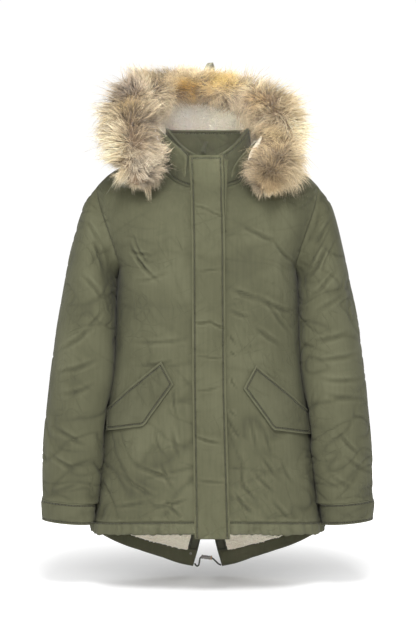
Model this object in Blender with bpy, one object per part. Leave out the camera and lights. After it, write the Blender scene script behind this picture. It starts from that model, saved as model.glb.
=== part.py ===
"""Fur trimmed parka, filled out as it hangs on a wearer's shoulders.

The body is a stack of rings from the hem up to the neck seam, and its four panels share the seams
that run over those rings. The sleeves start from the armholes that the panels leave open. What is
sewn on a panel, such as a flap or the placket, is made from points of the panel's own surface,
moved out. The wearer faces -Y, and the origin lies between the shoulders. Tables are in millimetres.
"""

import math
from collections import namedtuple

import bmesh
import bpy
from mathutils import Vector
from mathutils.bvhtree import BVHTree

MM = 0.001

# Cloth walls and the clearances between pieces, in millimetres.
PADDED_WALL = 5.0  # shell, wadding and lining of the body and the sleeves
COLLAR_WALL = 4.5
PLAIN_WALL = 2.5  # two layers of twill: hood shell, placket, flaps
PILE_WALL = 4.5  # knitted pile lining
HALF_SEAM = 0.2  # each piece stops this far from its seam line
LAYER_GAP = 0.3  # between two pieces that lie on each other
SIDE_CLEARANCE = 2.0  # between a hanging sleeve and the body's side
FLAP_CLEARANCE = 2.6  # between a hanging sleeve and the end of a pocket flap

# Mesh spacing of the large pieces.
ROW_STEP = 29.0
PANEL_COLUMNS = 10
HOLE_ROWS = 9
SLEEVE_COLUMNS = 2 * HOLE_ROWS

# Rings of the body, hem to neck. A ring is an oval through its front, side and back points, and
# `dip` says how soon it leaves the side's height for the front's: 2 is a tilted plane, 0.6 a deep scoop.
Ring = namedtuple("Ring", "name width front back side_y side_z front_z back_z square dip")
BODY = (
    Ring("hem", 216.0, 138, 132, 0, -668, -657, -752, 2.3, 2.0),
    Ring("hem seam", 214.5, 137, 131, 0, -645, -634, -721, 2.3, 2.0),
    Ring("tail", 209.0, 134, 128, 0, -603, -592, -662, 2.3, 2.0),
    Ring("skirt", 202.0, 131, 124, 0, -550, -542, -588, 2.3, 2.0),
    Ring("hip", 195.0, 127, 121, 0, -490, -486, -508, 2.3, 2.0),
    Ring("low waist", 186.5, 123, 118, 0, -425, -422, -432, 2.3, 2.0),
    Ring("waist", 177.5, 120, 114, 0, -370, -368, -372, 2.3, 2.0),
    Ring("high waist", 173.0, 119, 113, 0, -315, -314, -315, 2.3, 2.0),
    Ring("ribs", 171.0, 120, 114, 0, -260, -260, -260, 2.3, 2.0),
    Ring("bust", 168.0, 122, 117, 0, -215, -213, -215, 2.3, 2.0),
    Ring("armpit", 165.0, 123, 119, 2, -185, -181, -185, 2.25, 2.0),
    Ring("low hole", 174.0, 122, 119, 3, -160, -158, -160, 2.2, 2.0),
    Ring("mid hole", 188.0, 120, 117, 4, -130, -132, -128, 2.2, 2.0),
    Ring("high hole", 200.0, 117, 112, 5, -98, -107, -92, 2.15, 1.9),
    Ring("cap", 206.0, 113, 103, 6, -64, -87, -58, 2.1, 1.7),
    Ring("tip", 203.0, 107, 91, 6, -28, -71, -30, 2.05, 1.4),
    Ring("shoulder", 165.0, 101, 79, 4, 3, -58, -11, 2.0, 1.1),
    Ring("slope", 121.0, 95, 69, -2, 18, -49, 3, 2.0, 0.85),
    Ring("neck", 82.0, 89, 58, -8, 28, -42, 14, 2.0, 0.65),
)
HEM, HEM_SEAM, ARMPIT, TIP, NECK = 0, 1, 10, 15, 18
COLLAR_TOP = Ring("collar top", 77.0, 86, 60, -12, 76, 18, 80, 2.0, 2.0)

# The armhole: how far its front and back edges draw in from the side, in degrees round the ring.
HOLE_FRONT, HOLE_BACK = 23.0, 21.0
HOLE_ROUNDNESS = 0.45

# Rings of the sleeve below the armhole. The inner line follows the body's side at `inner_z`.
Sleeve = namedtuple("Sleeve", "name outer_x outer_z inner_z front back outer_y inner_y")
SLEEVE = (
    Sleeve("crown", 225.0, -55, -203, 60, 57, 4, -2),
    Sleeve("upper cap", 238.5, -90, -222, 67, 63, 4, -8),
    Sleeve("lower cap", 249.5, -130, -245, 71, 67, 4, -16),
    Sleeve("biceps", 258.5, -175, -272, 72, 68, 3, -24),
    Sleeve("upper arm", 268.5, -225, -302, 71, 67, 1, -30),
    Sleeve("above elbow", 278.5, -280, -336, 69, 65, -3, -34),
    Sleeve("elbow", 286.5, -340, -378, 67, 62, -8, -38),
    Sleeve("forearm", 294.0, -400, -424, 64, 59, -13, -42),
    Sleeve("mid forearm", 299.5, -460, -472, 60, 55, -18, -45),
    Sleeve("low forearm", 303.0, -520, -524, 56, 52, -22, -48),
    Sleeve("wrist", 304.0, -570, -575, 53, 49, -25, -50),
    Sleeve("cuff seam", 303.5, -604, -610, 51, 47, -27, -51),
    Sleeve("cuff hem", 301.5, -642, -648, 47, 43, -29, -52),
)
CUFF_SEAM, CUFF_HEM = 11, 12
CUFF_PROUD = 1.0  # the folded cuff stands this far out from the sleeve

# The largest soft troughs of the cloth, from one end to the other as seen from the front.
Trough = namedtuple("Trough", "x0 z0 x1 z1 depth breadth")
FRONT_TROUGHS = (
    Trough(-148, -150, -92, -196, 5.0, 17),
    Trough(-150, -262, -70, -330, 4.0, 20),
    Trough(-150, -520, -60, -610, 5.0, 20),
    Trough(-60, -130, -62, -300, 2.5, 24),
    Trough(52, -92, 150, -140, 5.0, 17),
    Trough(36, -220, 142, -276, 5.0, 18),
    Trough(82, -292, 150, -336, 4.0, 16),
    Trough(48, -590, 110, -520, 5.0, 18),
    Trough(118, -600, 172, -510, 4.5, 18),
    Trough(60, -330, 66, -520, 2.5, 26),
)
BACK_TROUGHS = (
    Trough(-140, -170, -60, -210, 5.0, 20),
    Trough(140, -165, 55, -215, 5.0, 20),
    Trough(-150, -330, -40, -368, 5.0, 20),
    Trough(150, -320, 30, -372, 4.5, 20),
    Trough(-70, -400, -84, -520, 4.0, 26),
    Trough(75, -390, 95, -520, 4.0, 26),
)
SLEEVE_TROUGHS = (  # x0 and x1 count from the sleeve's middle towards its outer side
    Trough(-30, -150, 34, -112, 6.0, 16),
    Trough(-36, -196, 22, -160, 5.0, 16),
    Trough(-40, -330, 26, -292, 5.0, 16),
    Trough(-38, -372, 40, -366, 5.5, 15),
    Trough(-20, -410, 44, -432, 4.5, 15),
    Trough(-44, -470, 24, -505, 5.0, 16),
    Trough(-30, -560, 40, -548, 4.5, 15),
)

# Centre back vent, whose edges part towards the hem.
VENT_TOP_Z = -610.0
VENT_HEM_Z = -752.0
VENT_HALF_WIDTH = 28.0
VENT_SPREAD = 1.6
FACING_WIDTH = 20.0
LINING_TOP_Z = -560.0

# Placket: its left and right edges, top to bottom, and how far it hangs below the front hem.
Edge = namedtuple("Edge", "z left right")
PLACKET = (
    Edge(19, -32, 27),
    Edge(-130, -28, 31),
    Edge(-400, -27, 33),
    Edge(-660, -23, 40),
)
PLACKET_DROP = 5.0
PLACKET_ROWS = 26
UNDER_STRIP_WIDTH = 8.0
UNDER_STRIP_FOOT_Z = -120.0

# Pocket flap corners on the wearer's right, seen from the front, and the other side's shift.
Corner = namedtuple("Corner", "x z")
FLAP = (
    Corner(-82, -351),
    Corner(-60, -392),
    Corner(-113, -465),
    Corner(-181, -475),
    Corner(-181, -436),
    Corner(-144, -402),
)
FLAP_SHIFT = Corner(4, -7)
FLAP_LIFT = 1.6
FLAP_ROWS, FLAP_COLUMNS = 8, 12

# Hood, neck seam to crown. Each ring runs from the centre back round to the face edge.
Hood = namedtuple("Hood", "name width centre_y back_y front_y edge back_z side_z edge_z")
HOOD = (
    Hood("neck seam", 84, -8, 60, -92, 150, 17, 34, -30),
    Hood("collar side", 92, -6, 90, -101, 156, 2, 52, 16),
    Hood("rise", 99, -4, 122, -85, 148, -2, 72, 50),
    Hood("flare", 105, 10, 146, -58, 136, 20, 92, 86),
    Hood("side", 114, 24, 162, -20, 106, 58, 112, 114),
    Hood("upper side", 115, 38, 165, 0, 91, 100, 134, 142),
    Hood("high side", 98, 54, 156, 0, 89, 138, 156, 166),
    Hood("crown", 60, 68, 138, 0, 87, 168, 174, 180),
    Hood("centre seam", 0.2, 76, 112, 0, 87, 184, 183, 182),
)
HOOD_PLACES = (0, 0.5, 1, 1.3, 1.6, 1.9, 2.2, 2.6, 3, 3.4, 3.8, 4.3, 5, 6, 7, 7.5, 8)
HOOD_COLUMNS = 8
SHARE_STEP = 0.01  # how finely the end of each ring of the hood is found
LINING_FROM_ROW = 2
FUR_SEAM = 0.8  # the hood ends this far from the fur
HOOD_CLEARANCE = PLAIN_WALL + 1.5  # the hood's outside over the collar and the shoulders
HOOD_LEAN = 0.125  # the wearer's right side of the hood stands higher
LEAN_FROM_Z, LEAN_FULL_Z = -10.0, 90.0

# Fur trim: the roll's centre line from the wearer's right front, over the arch, to the left front.
Fur = namedtuple("Fur", "x y z radius depth")
FUR = (
    Fur(-124, -116, -33, 34, 26),
    Fur(-123, -110, -8, 48, 34),
    Fur(-127, -92, 25, 56, 36),
    Fur(-138, -62, 66, 61, 38),
    Fur(-147, -28, 103, 58, 36),
    Fur(-127, 2, 134, 51, 34),
    Fur(-89, 22, 152, 40, 32),
    Fur(-33, 36, 162, 32, 32),
    Fur(27, 34, 152, 34, 32),
    Fur(77, 18, 137, 45, 34),
    Fur(118, -8, 106, 54, 36),
    Fur(137, -42, 68, 58, 38),
    Fur(124, -78, 22, 57, 37),
    Fur(110, -104, -14, 49, 34),
    Fur(102, -114, -38, 36, 26),
)
FUR_SECTIONS = 34
FUR_SIDES = 14
FUR_LUMP = 0.05
FUR_REST = 2.6  # clearance over what the fur lies on
FUR_ON_HOOD_BELOW_Z = 55.0

# Crown tab, hanger loop and hem drawcord.
TAB_WIDTH, TAB_RISE, TAB_CORD = 19.0, 23.0, 4.5
TAB_PLACE = Vector((4, 84, 183.1))
HANGER_WIDTH, HANGER_DROP, HANGER_CORD = 15.0, 30.0, 3.0
HANGER_X, HANGER_Y, HANGER_TOP_Z = -6.0, 51.0, 56.0
CORD_DIAMETER = 3.2
CORD_Y = 128.0
CORD_RIGHT = ((-24.7, -746.2), (-22.6, -749.6), (-19.6, -751.4), (-17, -749.4), (-15.8, -744.6), (-14.6, -736.6))
CORD_LEFT = ((9.6, -736.4), (13.2, -739.4), (17.2, -743.6), (21.2, -747.2), (26.1, -749.4))
LOCK_FROM, LOCK_TO, LOCK_RADIUS = (-12.0, -733.2), (5.6, -735.4), 3.9
RING_LENGTH, RING_RADIUS = 2.6, 4.4
EYELET_PLACE, EYELET_HOLE, EYELET_WIRE = Vector((-32.3, 124.3, -726.6)), 1.2, 0.5


# ---------------------------------------------------------------- scene and materials


def clear_scene():
    for old in list(bpy.data.objects):
        bpy.data.objects.remove(old, do_unlink=True)


def new_collection(name):
    collection = bpy.data.collections.new(name)
    bpy.context.scene.collection.children.link(collection)
    return collection


def material(name, colour, roughness, metallic=0.0):
    made = bpy.data.materials.new(name)
    made.use_nodes = True
    shader = made.node_tree.nodes["Principled BSDF"]
    shader.inputs["Base Color"].default_value = (*colour, 1.0)
    shader.inputs["Roughness"].default_value = roughness
    shader.inputs["Metallic"].default_value = metallic
    return made


clear_scene()
parka = new_collection("fur_trimmed_parka")
twill = material("olive_twill", (0.150, 0.152, 0.098), 0.85)
inner_twill = material("inner_olive_twill", (0.070, 0.072, 0.045), 0.85)
pile = material("cream_pile", (0.68, 0.62, 0.50), 0.95)
fur_hair = material("fur", (0.50, 0.38, 0.23), 0.90)
cord_braid = material("olive_cord", (0.090, 0.090, 0.058), 0.80)
metal = material("antique_metal", (0.42, 0.34, 0.25), 0.35, 1.0)


# ---------------------------------------------------------------- curves through tables


def smooth_between(values, at):
    """Catmull-Rom curve through the values, read at a fractional place in the list."""
    last = len(values) - 1
    i = min(int(at), last - 1)
    u = at - i
    p1, p2 = values[i], values[i + 1]
    p0 = values[i - 1] if i > 0 else 2 * p1 - p2
    p3 = values[i + 2] if i + 2 <= last else 2 * p2 - p1
    return p1 + 0.5 * u * (p2 - p0 + u * (2 * p0 - 5 * p1 + 4 * p2 - p3 + u * (3 * (p1 - p2) + p3 - p0)))


def row_at(table, at):
    """The table's row at a fractional place, every number of it smoothly between its neighbours."""
    first = table[0]
    numbers = [i for i, value in enumerate(first) if not isinstance(value, str)]
    values = {i: smooth_between([row[i] for row in table], at) for i in numbers}
    return first._make(values.get(i, first[i]) for i in range(len(first)))


def even_places(start, end, point_at, step=ROW_STEP, count=None):
    """Fractional places from start to end whose points lie evenly, about a step apart."""
    samples = 60
    places = [start + (end - start) * i / samples for i in range(samples + 1)]
    points = [point_at(place) for place in places]
    reach = [0.0]
    for a, b in zip(points, points[1:]):
        reach.append(reach[-1] + (b - a).length)
    count = count or max(1, round(reach[-1] / step))
    found, i = [], 0
    for k in range(count + 1):
        wanted = reach[-1] * k / count
        while i < samples - 1 and reach[i + 1] < wanted:
            i += 1
        share = (wanted - reach[i]) / (reach[i + 1] - reach[i])
        found.append(places[i] + (places[i + 1] - places[i]) * min(max(share, 0.0), 1.0))
    return found


def ring_point(ring, degrees):
    """A ring's point at an angle counted from the centre front, positive towards the wearer's left."""
    sine, cosine = math.sin(math.radians(degrees)), math.cos(math.radians(degrees))
    power = 2.0 / ring.square
    x = math.copysign(ring.width * abs(sine) ** power, sine)
    if cosine >= 0:
        y = ring.side_y - (ring.front + ring.side_y) * cosine**power
        z = ring.side_z + (ring.front_z - ring.side_z) * cosine**ring.dip
    else:
        y = ring.side_y + (ring.back - ring.side_y) * (-cosine) ** power
        z = ring.side_z + (ring.back_z - ring.side_z) * cosine * cosine
    return Vector((x, y, z))


def body_point(place, degrees):
    return ring_point(row_at(BODY, place), degrees)


def surface_normal(point_at, u, v, outside):
    """Unit normal of a surface at (u, v), on the same side as the outside direction."""
    du, dv = 0.02, 0.6
    along = point_at(u + du, v) - point_at(u - du, v)
    across = point_at(u, v + dv) - point_at(u, v - dv)
    normal = along.cross(across).normalized()
    return normal if normal.dot(outside) > 0 else -normal


def body_normal(place, degrees):
    place = min(max(place, 0.03), len(BODY) - 1.03)
    point = body_point(place, degrees)
    outside = Vector((point.x, point.y, 40.0 if place > TIP - 1 else 0.0))
    return surface_normal(body_point, place, degrees, outside)


# ---------------------------------------------------------------- walls from grids of points


def grid_normals(grid, outside_of, closed=False):
    """Unit normals of a grid of points, from its neighbours, on the side that outside_of gives."""
    rows, columns = len(grid), len(grid[0])
    normals = []
    for i in range(rows):
        line = []
        for j in range(columns):
            before, after = (j - 1) % columns, (j + 1) % columns
            if not closed:
                before, after = max(j - 1, 0), min(j + 1, columns - 1)
            along = grid[min(i + 1, rows - 1)][j] - grid[max(i - 1, 0)][j]
            across = grid[i][after] - grid[i][before]
            normal = along.cross(across).normalized()
            line.append(normal if normal.dot(outside_of(grid[i][j])) > 0 else -normal)
        normals.append(line)
    return normals


def drawn_in(grid, closed=False, by=HALF_SEAM):
    """The grid with its border moved in from the seam lines."""
    rows = [list(row) for row in grid]
    for border, nearest in ((0, 1), (-1, -2)):
        for j in range(len(rows[0])):
            rows[border][j] = grid[border][j] + (grid[nearest][j] - grid[border][j]).normalized() * by
    if not closed:
        for row, source in zip(rows, [list(row) for row in rows]):
            for border, nearest in ((0, 1), (-1, -2)):
                row[border] = source[border] + (source[nearest] - source[border]).normalized() * by
    return rows


def moved(grid, normals, distance):
    return [[p + n * distance for p, n in zip(row, line)] for row, line in zip(grid, normals)]


def wall(name, outer, inner, finish, closed=False):
    """One closed body between an outer and an inner grid of points, joined round their borders."""
    rows, columns = len(outer), len(outer[0])
    points = [p * MM for row in outer for p in row] + [p * MM for row in inner for p in row]
    shift = rows * columns

    def at(i, j):
        return i * columns + j % columns

    faces = []
    spans = columns if closed else columns - 1
    for i in range(rows - 1):
        for j in range(spans):
            a, b, c, d = at(i, j), at(i, j + 1), at(i + 1, j + 1), at(i + 1, j)
            for near in ((a, b, c), (a, c, d)):  # one diagonal for all layers, so none cuts another
                faces += [near, tuple(shift + k for k in reversed(near))]
    for j in range(spans):
        for i in (0, rows - 1):
            a, b = at(i, j), at(i, j + 1)
            faces.append((b, a, shift + a, shift + b) if i == 0 else (a, b, shift + b, shift + a))
    if not closed:
        for i in range(rows - 1):
            for j in (0, columns - 1):
                a, b = at(i, j), at(i + 1, j)
                faces.append((a, b, shift + b, shift + a) if j == 0 else (b, a, shift + a, shift + b))
    return solid(name, points, faces, finish)


def solid(name, points, faces, finish):
    mesh = bpy.data.meshes.new(name)
    mesh.from_pydata([tuple(p) for p in points], [], faces)
    if signed_volume(mesh) < 0:
        mesh.flip_normals()
    mesh.shade_smooth()
    mesh.set_sharp_from_angle(angle=math.radians(50))
    mesh.materials.append(finish)
    made = bpy.data.objects.new(name, mesh)
    parka.objects.link(made)
    return made


def signed_volume(mesh):
    mesh.calc_loop_triangles()
    corners = [v.co for v in mesh.vertices]
    return sum(
        corners[t.vertices[0]].dot(corners[t.vertices[1]].cross(corners[t.vertices[2]]))
        for t in mesh.loop_triangles
    )


def tree_of(grids, closed=False):
    """A search tree over the quads of one or more grids of points."""
    points, faces = [], []
    for grid in grids:
        start, columns = len(points), len(grid[0])
        points += [p for row in grid for p in row]
        for i in range(len(grid) - 1):
            for j in range(columns if closed else columns - 1):
                a, b = start + i * columns + j, start + i * columns + (j + 1) % columns
                faces.append((a, b, b + columns, a + columns))
    return BVHTree.FromPolygons(points, faces)


def clear_of(point, trees, clearance, reach=70.0):
    """The point, moved out of any cloth that it would sink into."""
    for tree in trees:
        foot, normal, _, _ = tree.find_nearest(point, reach)
        if foot is None:
            continue
        outward = normal if normal.dot(Vector((foot.x, foot.y, 60.0))) > 0 else -normal
        depth = (point - foot).dot(outward)
        beside = (point - foot - outward * depth).length
        if depth < clearance and beside < 2.0:
            point = point + outward * (clearance - depth)
    return point


def trough_depth(troughs, x, z):
    """How far the cloth sinks at a place, over all troughs: deepest mid-length, fading to both ends."""
    sunk = 0.0
    for t in troughs:
        run_x, run_z = t.x1 - t.x0, t.z1 - t.z0
        length = math.hypot(run_x, run_z)
        along = ((x - t.x0) * run_x + (z - t.z0) * run_z) / length**2
        if -0.3 < along < 1.3:
            away = abs((x - t.x0) * run_z - (z - t.z0) * run_x) / length
            fade = math.sin(math.pi * (along + 0.3) / 1.6) ** 2
            sunk += t.depth * fade * math.exp(-((away / t.breadth) ** 2))
    return sunk


# ---------------------------------------------------------------- body panels and hem bands


def hole_bulge(place):
    share = (place - ARMPIT) / (TIP - ARMPIT)
    return math.sin(math.pi * share) ** HOLE_ROUNDNESS if 0 < share < 1 else 0.0


def front_edge(place):
    return 90.0 - HOLE_FRONT * hole_bulge(place)


def back_edge(place):
    return 90.0 + HOLE_BACK * hole_bulge(place)


def vent_half_width(z):
    open_share = (VENT_TOP_Z - z) / (VENT_TOP_Z - VENT_HEM_Z)
    return VENT_HALF_WIDTH * open_share**VENT_SPREAD if open_share > 0 else 0.0


def centre_back(place):
    """The angle of the centre back edge, which leaves 180 degrees where the vent opens."""
    ring = row_at(BODY, place)
    half = vent_half_width(ring.back_z)
    return 180.0 - math.degrees(math.asin((half / ring.width) ** (ring.square / 2)))


def panel_places(first, last):
    """Rows of a panel: evenly spaced up to the armpit, along the armhole and up to the neck."""
    places = even_places(first, min(last, ARMPIT), lambda place: body_point(place, 62))
    if last > ARMPIT:
        hole = even_places(ARMPIT, TIP, lambda place: body_point(place, front_edge(place)), count=HOLE_ROWS)
        yoke = even_places(TIP, last, lambda place: body_point(place, 90))
        places += hole[1:] + yoke[1:]
    return places


def panel_angles(place, side, is_front):
    centre, edge = (0.0, front_edge(place)) if is_front else (centre_back(place), back_edge(place))
    return [side * (centre + (edge - centre) * j / PANEL_COLUMNS) for j in range(PANEL_COLUMNS + 1)]


def panel_grids(first, last, side, is_front, troughs=()):
    """Outer points and normals of a body panel, sunk where the cloth folds."""
    grid, normals = [], []
    for place in panel_places(first, last):
        angles = panel_angles(place, side, is_front)
        line = [body_normal(place, angle) for angle in angles]
        points = [body_point(place, angle) for angle in angles]
        border = [math.sin(math.pi * j / PANEL_COLUMNS) ** 0.5 for j in range(PANEL_COLUMNS + 1)]
        sunk = [trough_depth(troughs, p.x, p.z) * b for p, b in zip(points, border)]
        grid.append([p - n * s for p, n, s in zip(points, line, sunk)])
        normals.append(line)
    return grid, normals


def padded_piece(name, grid, normals, thickness=PADDED_WALL, finish=twill):
    outer = drawn_in(grid)
    return wall(name, outer, moved(outer, normals, -thickness), finish)


SIDES = (("right", -1), ("left", 1))
front_grids = {}
for side_name, side in SIDES:
    for part_name, is_front, troughs in (("front", True, FRONT_TROUGHS), ("back", False, BACK_TROUGHS)):
        grid, normals = panel_grids(HEM_SEAM, NECK, side, is_front, troughs)
        padded_piece(f"{part_name}_{side_name}", grid, normals)
        band, band_normals = panel_grids(HEM, HEM_SEAM, side, is_front)
        padded_piece(f"hem_band_{part_name}_{side_name}", band, band_normals)
        front_grids[part_name, side_name] = (grid, band)

panel_tree = tree_of([g for pair in front_grids.values() for g in pair])


# ---------------------------------------------------------------- vent facings and pile lining


def inside_back(place, side, from_centre, to_centre, columns, depth):
    """Points inside the back panel, between two distances from its centre edge."""
    ring = row_at(BODY, place)
    half = vent_half_width(ring.back_z)
    line = []
    for j in range(columns + 1):
        x = half + from_centre + (to_centre - from_centre) * j / columns
        angle = side * (180.0 - math.degrees(math.asin((x / ring.width) ** (ring.square / 2))))
        inward = -body_normal(place, angle)
        start = body_point(place, angle) - inward * 20.0
        foot, _, _, _ = panel_tree.ray_cast(start, inward)
        line.append((foot or body_point(place, angle)) + inward * depth)
    return line


def inside_piece(name, side, reach, columns, thickness, finish):
    """A piece on the inside of one back panel, from the hem band's top edge up."""
    top = next(p for p in panel_places(HEM_SEAM, NECK) if row_at(BODY, p).back_z > LINING_TOP_Z)
    places = [HEM_SEAM + (top - HEM_SEAM) * i / 8 for i in range(9)]
    near = PADDED_WALL + 2 * LAYER_GAP
    face = [inside_back(p, side, *reach(p), columns, near + thickness) for p in places]
    base = [inside_back(p, side, *reach(p), columns, near) for p in places]
    wall(name, drawn_in(base), drawn_in(face), finish)


def facing_reach(place):
    return 0.5, FACING_WIDTH


def lining_reach(place):
    ring = row_at(BODY, place)
    return FACING_WIDTH + 0.5, ring.width - 32.0 - vent_half_width(ring.back_z)


for side_name, side in SIDES:
    inside_piece(f"vent_facing_{side_name}", side, facing_reach, 1, PLAIN_WALL, inner_twill)
    inside_piece(f"back_lining_{side_name}", side, lining_reach, 8, PILE_WALL, pile)


# ---------------------------------------------------------------- pocket flaps


def lying_on(cloth_at, rows, lift, thickness):
    """Outer and inner points over the front: rows of (x, z), lifted off the cloth below."""
    near, far = [], []
    for row in rows:
        feet = [cloth_at(x, z) for x, z in row]
        near.append([foot + normal * lift for foot, normal in feet])
        far.append([foot + normal * (lift + thickness) for foot, normal in feet])
    return far, near


def body_place(x, z):
    """Place and angle on the front of the body for a point seen from the front."""
    low, high = float(HEM), float(NECK)
    for _ in range(24):
        middle = 0.5 * (low + high)
        low, high = (middle, high) if row_at(BODY, middle).front_z < z else (low, middle)
    ring = row_at(BODY, low)
    share = min(abs(x) / ring.width, 0.985)
    return low, math.copysign(math.degrees(math.asin(share ** (ring.square / 2))), x)


def on_panel(x, z):
    """The panel's cloth and its normal at a place seen from the front, also where it turns away."""
    place, angle = body_place(x, z)
    outward = body_normal(place, angle)
    foot, _, _, _ = panel_tree.ray_cast(body_point(place, angle) + outward * 40.0, -outward)
    return foot, outward


def flap_rows(side):
    """The flap as a patch between its sewn upper edge and its free lower edge."""

    def along(corners, share):
        place = share * (len(corners) - 1)
        i = min(int(place), len(corners) - 2)
        a, b = corners[i], corners[i + 1]
        return a[0] + (b[0] - a[0]) * (place - i), a[1] + (b[1] - a[1]) * (place - i)

    inner_top, inner_tip, low, outer_low, outer_top, bow = FLAP
    upper = [outer_top, bow, inner_top]
    lower = [outer_low, low, inner_tip]
    rows = []
    for i in range(FLAP_ROWS + 1):
        share = i / FLAP_ROWS
        row = []
        for j in range(FLAP_COLUMNS + 1):
            top, foot = along(upper, j / FLAP_COLUMNS), along(lower, j / FLAP_COLUMNS)
            x = top[0] + (foot[0] - top[0]) * share
            z = top[1] + (foot[1] - top[1]) * share
            if side > 0:
                x, z = -x + FLAP_SHIFT.x, z + FLAP_SHIFT.z
            row.append((x, z))
        rows.append(row)
    return rows


flap_trees = {}
for side_name, side in SIDES:
    outer, inner = lying_on(on_panel, flap_rows(side), LAYER_GAP + FLAP_LIFT, PLAIN_WALL)
    wall(f"pocket_flap_{side_name}", outer, inner, twill)
    flap_trees[side] = tree_of([drawn_in(outer, by=-12.0)])


# ---------------------------------------------------------------- sleeves and cuffs


def armhole_loop(side):
    """The armhole's edge as the sleeve meets it: from the shoulder tip down the front, up the back."""
    up = [place for place in panel_places(HEM_SEAM, NECK) if ARMPIT <= place <= TIP]
    front = [(place, front_edge(place)) for place in reversed(up)]
    back = [(place, back_edge(place)) for place in up[1:-1]]
    points = [body_point(place, side * angle) for place, angle in front + back]
    normals = [body_normal(place, side * angle) for place, angle in front + back]
    return points, normals


def body_side_x(z, y):
    """Half width of the body at a height below the armpit, in the vertical plane at y."""
    low, high = float(HEM), float(ARMPIT)
    for _ in range(24):
        middle = 0.5 * (low + high)
        low, high = (middle, high) if row_at(BODY, middle).side_z < z else (low, middle)
    ring = row_at(BODY, low)
    return ring.width * (1 - abs(y / ring.front) ** ring.square) ** (1 / ring.square)


def sleeve_ring(row, side, proud=0.0):
    inner_x = body_side_x(row.inner_z, row.inner_y) + SIDE_CLEARANCE
    outer, inner = Vector((row.outer_x, row.outer_y, row.outer_z)), Vector((inner_x, row.inner_y, row.inner_z))
    middle, reach = 0.5 * (outer + inner), 0.5 * (outer - inner)
    reach += reach.normalized() * proud
    middle += reach.normalized() * proud
    points = []
    for j in range(SLEEVE_COLUMNS):
        turn = 2 * math.pi * j / SLEEVE_COLUMNS
        depth = (row.front if turn <= math.pi else row.back) + proud
        point = middle + reach * math.cos(turn) - Vector((0, depth * math.sin(turn), 0))
        point = Vector((side * point.x, point.y, point.z))
        point = clear_of(point, (panel_tree,), SIDE_CLEARANCE)
        points.append(clear_of(point, (flap_trees[side],), FLAP_CLEARANCE, 12.0))
    return points


def sleeve_outside(row):
    centre = sum(row, Vector()) / len(row)
    return lambda point: point - centre


def sleeve_grids(side):
    """Outer points and normals of one sleeve, from the armhole to the cuff's seam."""
    loop, body_normals = armhole_loop(side)
    places = even_places(0.0, CUFF_SEAM, lambda place: Vector(row_at(SLEEVE, place)[1:4]))
    grid = [loop] + [sleeve_ring(row_at(SLEEVE, place), side) for place in places]
    normals = []
    for i, row in enumerate(grid):
        nearby = [grid[max(i - 1, 0)], row, grid[min(i + 1, len(grid) - 1)]]
        outside = sleeve_outside(row)
        normals.append(grid_normals(nearby, outside, closed=True)[1])
    hole_centre = sum(loop, Vector()) / len(loop)
    for j, (point, own, body) in enumerate(zip(loop, normals[0], body_normals)):
        along = loop[(j + 1) % SLEEVE_COLUMNS] - loop[j - 1]
        into_hole = along.cross(body).normalized()
        if into_hole.dot(hole_centre - point) < 0:
            into_hole = -into_hole
        normals[0][j] = (own - into_hole * max(0.0, own.dot(into_hole))).normalized()
    sunk = []
    for row, line in zip(grid, normals):
        centre_x = sum(p.x for p in row) / len(row)
        sunk.append(
            [
                p - n * trough_depth(SLEEVE_TROUGHS, side * (p.x - centre_x), p.z) * (0.35 if p.y > 0 else 1)
                for p, n in zip(row, line)
            ]
        )
    sunk[0], sunk[-1] = grid[0], grid[-1]
    return sunk, normals


def cuff(side_name, side):
    """A folded band round the sleeve's end."""
    places = (CUFF_SEAM, CUFF_SEAM + 0.08, CUFF_SEAM + 0.5, CUFF_HEM)
    prouds = (0.0, CUFF_PROUD, CUFF_PROUD, CUFF_PROUD)
    grid = [sleeve_ring(row_at(SLEEVE, place), side, proud) for place, proud in zip(places, prouds)]
    outside = sleeve_outside([p for row in grid for p in row])
    normals = grid_normals(grid, lambda p: Vector((outside(p).x, outside(p).y, 0)), closed=True)
    outer = drawn_in(grid, closed=True)
    wall(f"cuff_{side_name}", outer, moved(outer, normals, -PADDED_WALL), twill, closed=True)


for side_name, side in SIDES:
    grid, normals = sleeve_grids(side)
    outer = drawn_in(grid, closed=True)
    wall(f"sleeve_{side_name}", outer, moved(outer, normals, -PADDED_WALL), twill, closed=True)
    cuff(side_name, side)


# ---------------------------------------------------------------- collar


def collar_point(share, degrees):
    """The collar's outer surface: from the neck seam at 0 to its top edge at 1."""
    low, high = ring_point(BODY[NECK], degrees), ring_point(COLLAR_TOP, degrees)
    return low.lerp(high, share)


def collar_grids():
    columns = 4 * PANEL_COLUMNS
    start = 0.35  # the collar's fronts meet under the placket
    grid, normals = [], []
    for share in (0.0, 0.35, 0.7, 1.0):
        angles = [min(max(360 * j / columns, start), 360 - start) for j in range(columns + 1)]
        points = [collar_point(share, angle) for angle in angles]
        grid.append(points)
        normals.append([Vector((p.x, p.y + 10, 0)).normalized() for p in points])
    return grid, normals


collar_outer, collar_normals = collar_grids()
collar_outer = drawn_in(collar_outer, by=0.5)
collar_inner = moved(collar_outer, collar_normals, -COLLAR_WALL)
wall("collar", collar_outer, collar_inner, twill)
collar_tree = tree_of([collar_outer])


# ---------------------------------------------------------------- placket

CLOTH_TREES = (panel_tree, collar_tree)


def on_front(x, z):
    """The outermost cloth of the front at a place seen from the front, and its normal."""
    found = None
    for tree in CLOTH_TREES:
        for step_x, step_z in ((0, 0), (1.5, 0), (-1.5, 0), (0, 2), (0, -2)):
            hit, normal, _, _ = tree.ray_cast(Vector((x + step_x, -400, z + step_z)), Vector((0, 1, 0)))
            if hit and (found is None or hit.y < found[0].y):
                found = Vector((x, hit.y, z)), normal if normal.y < 0 else -normal
    return found


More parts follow.
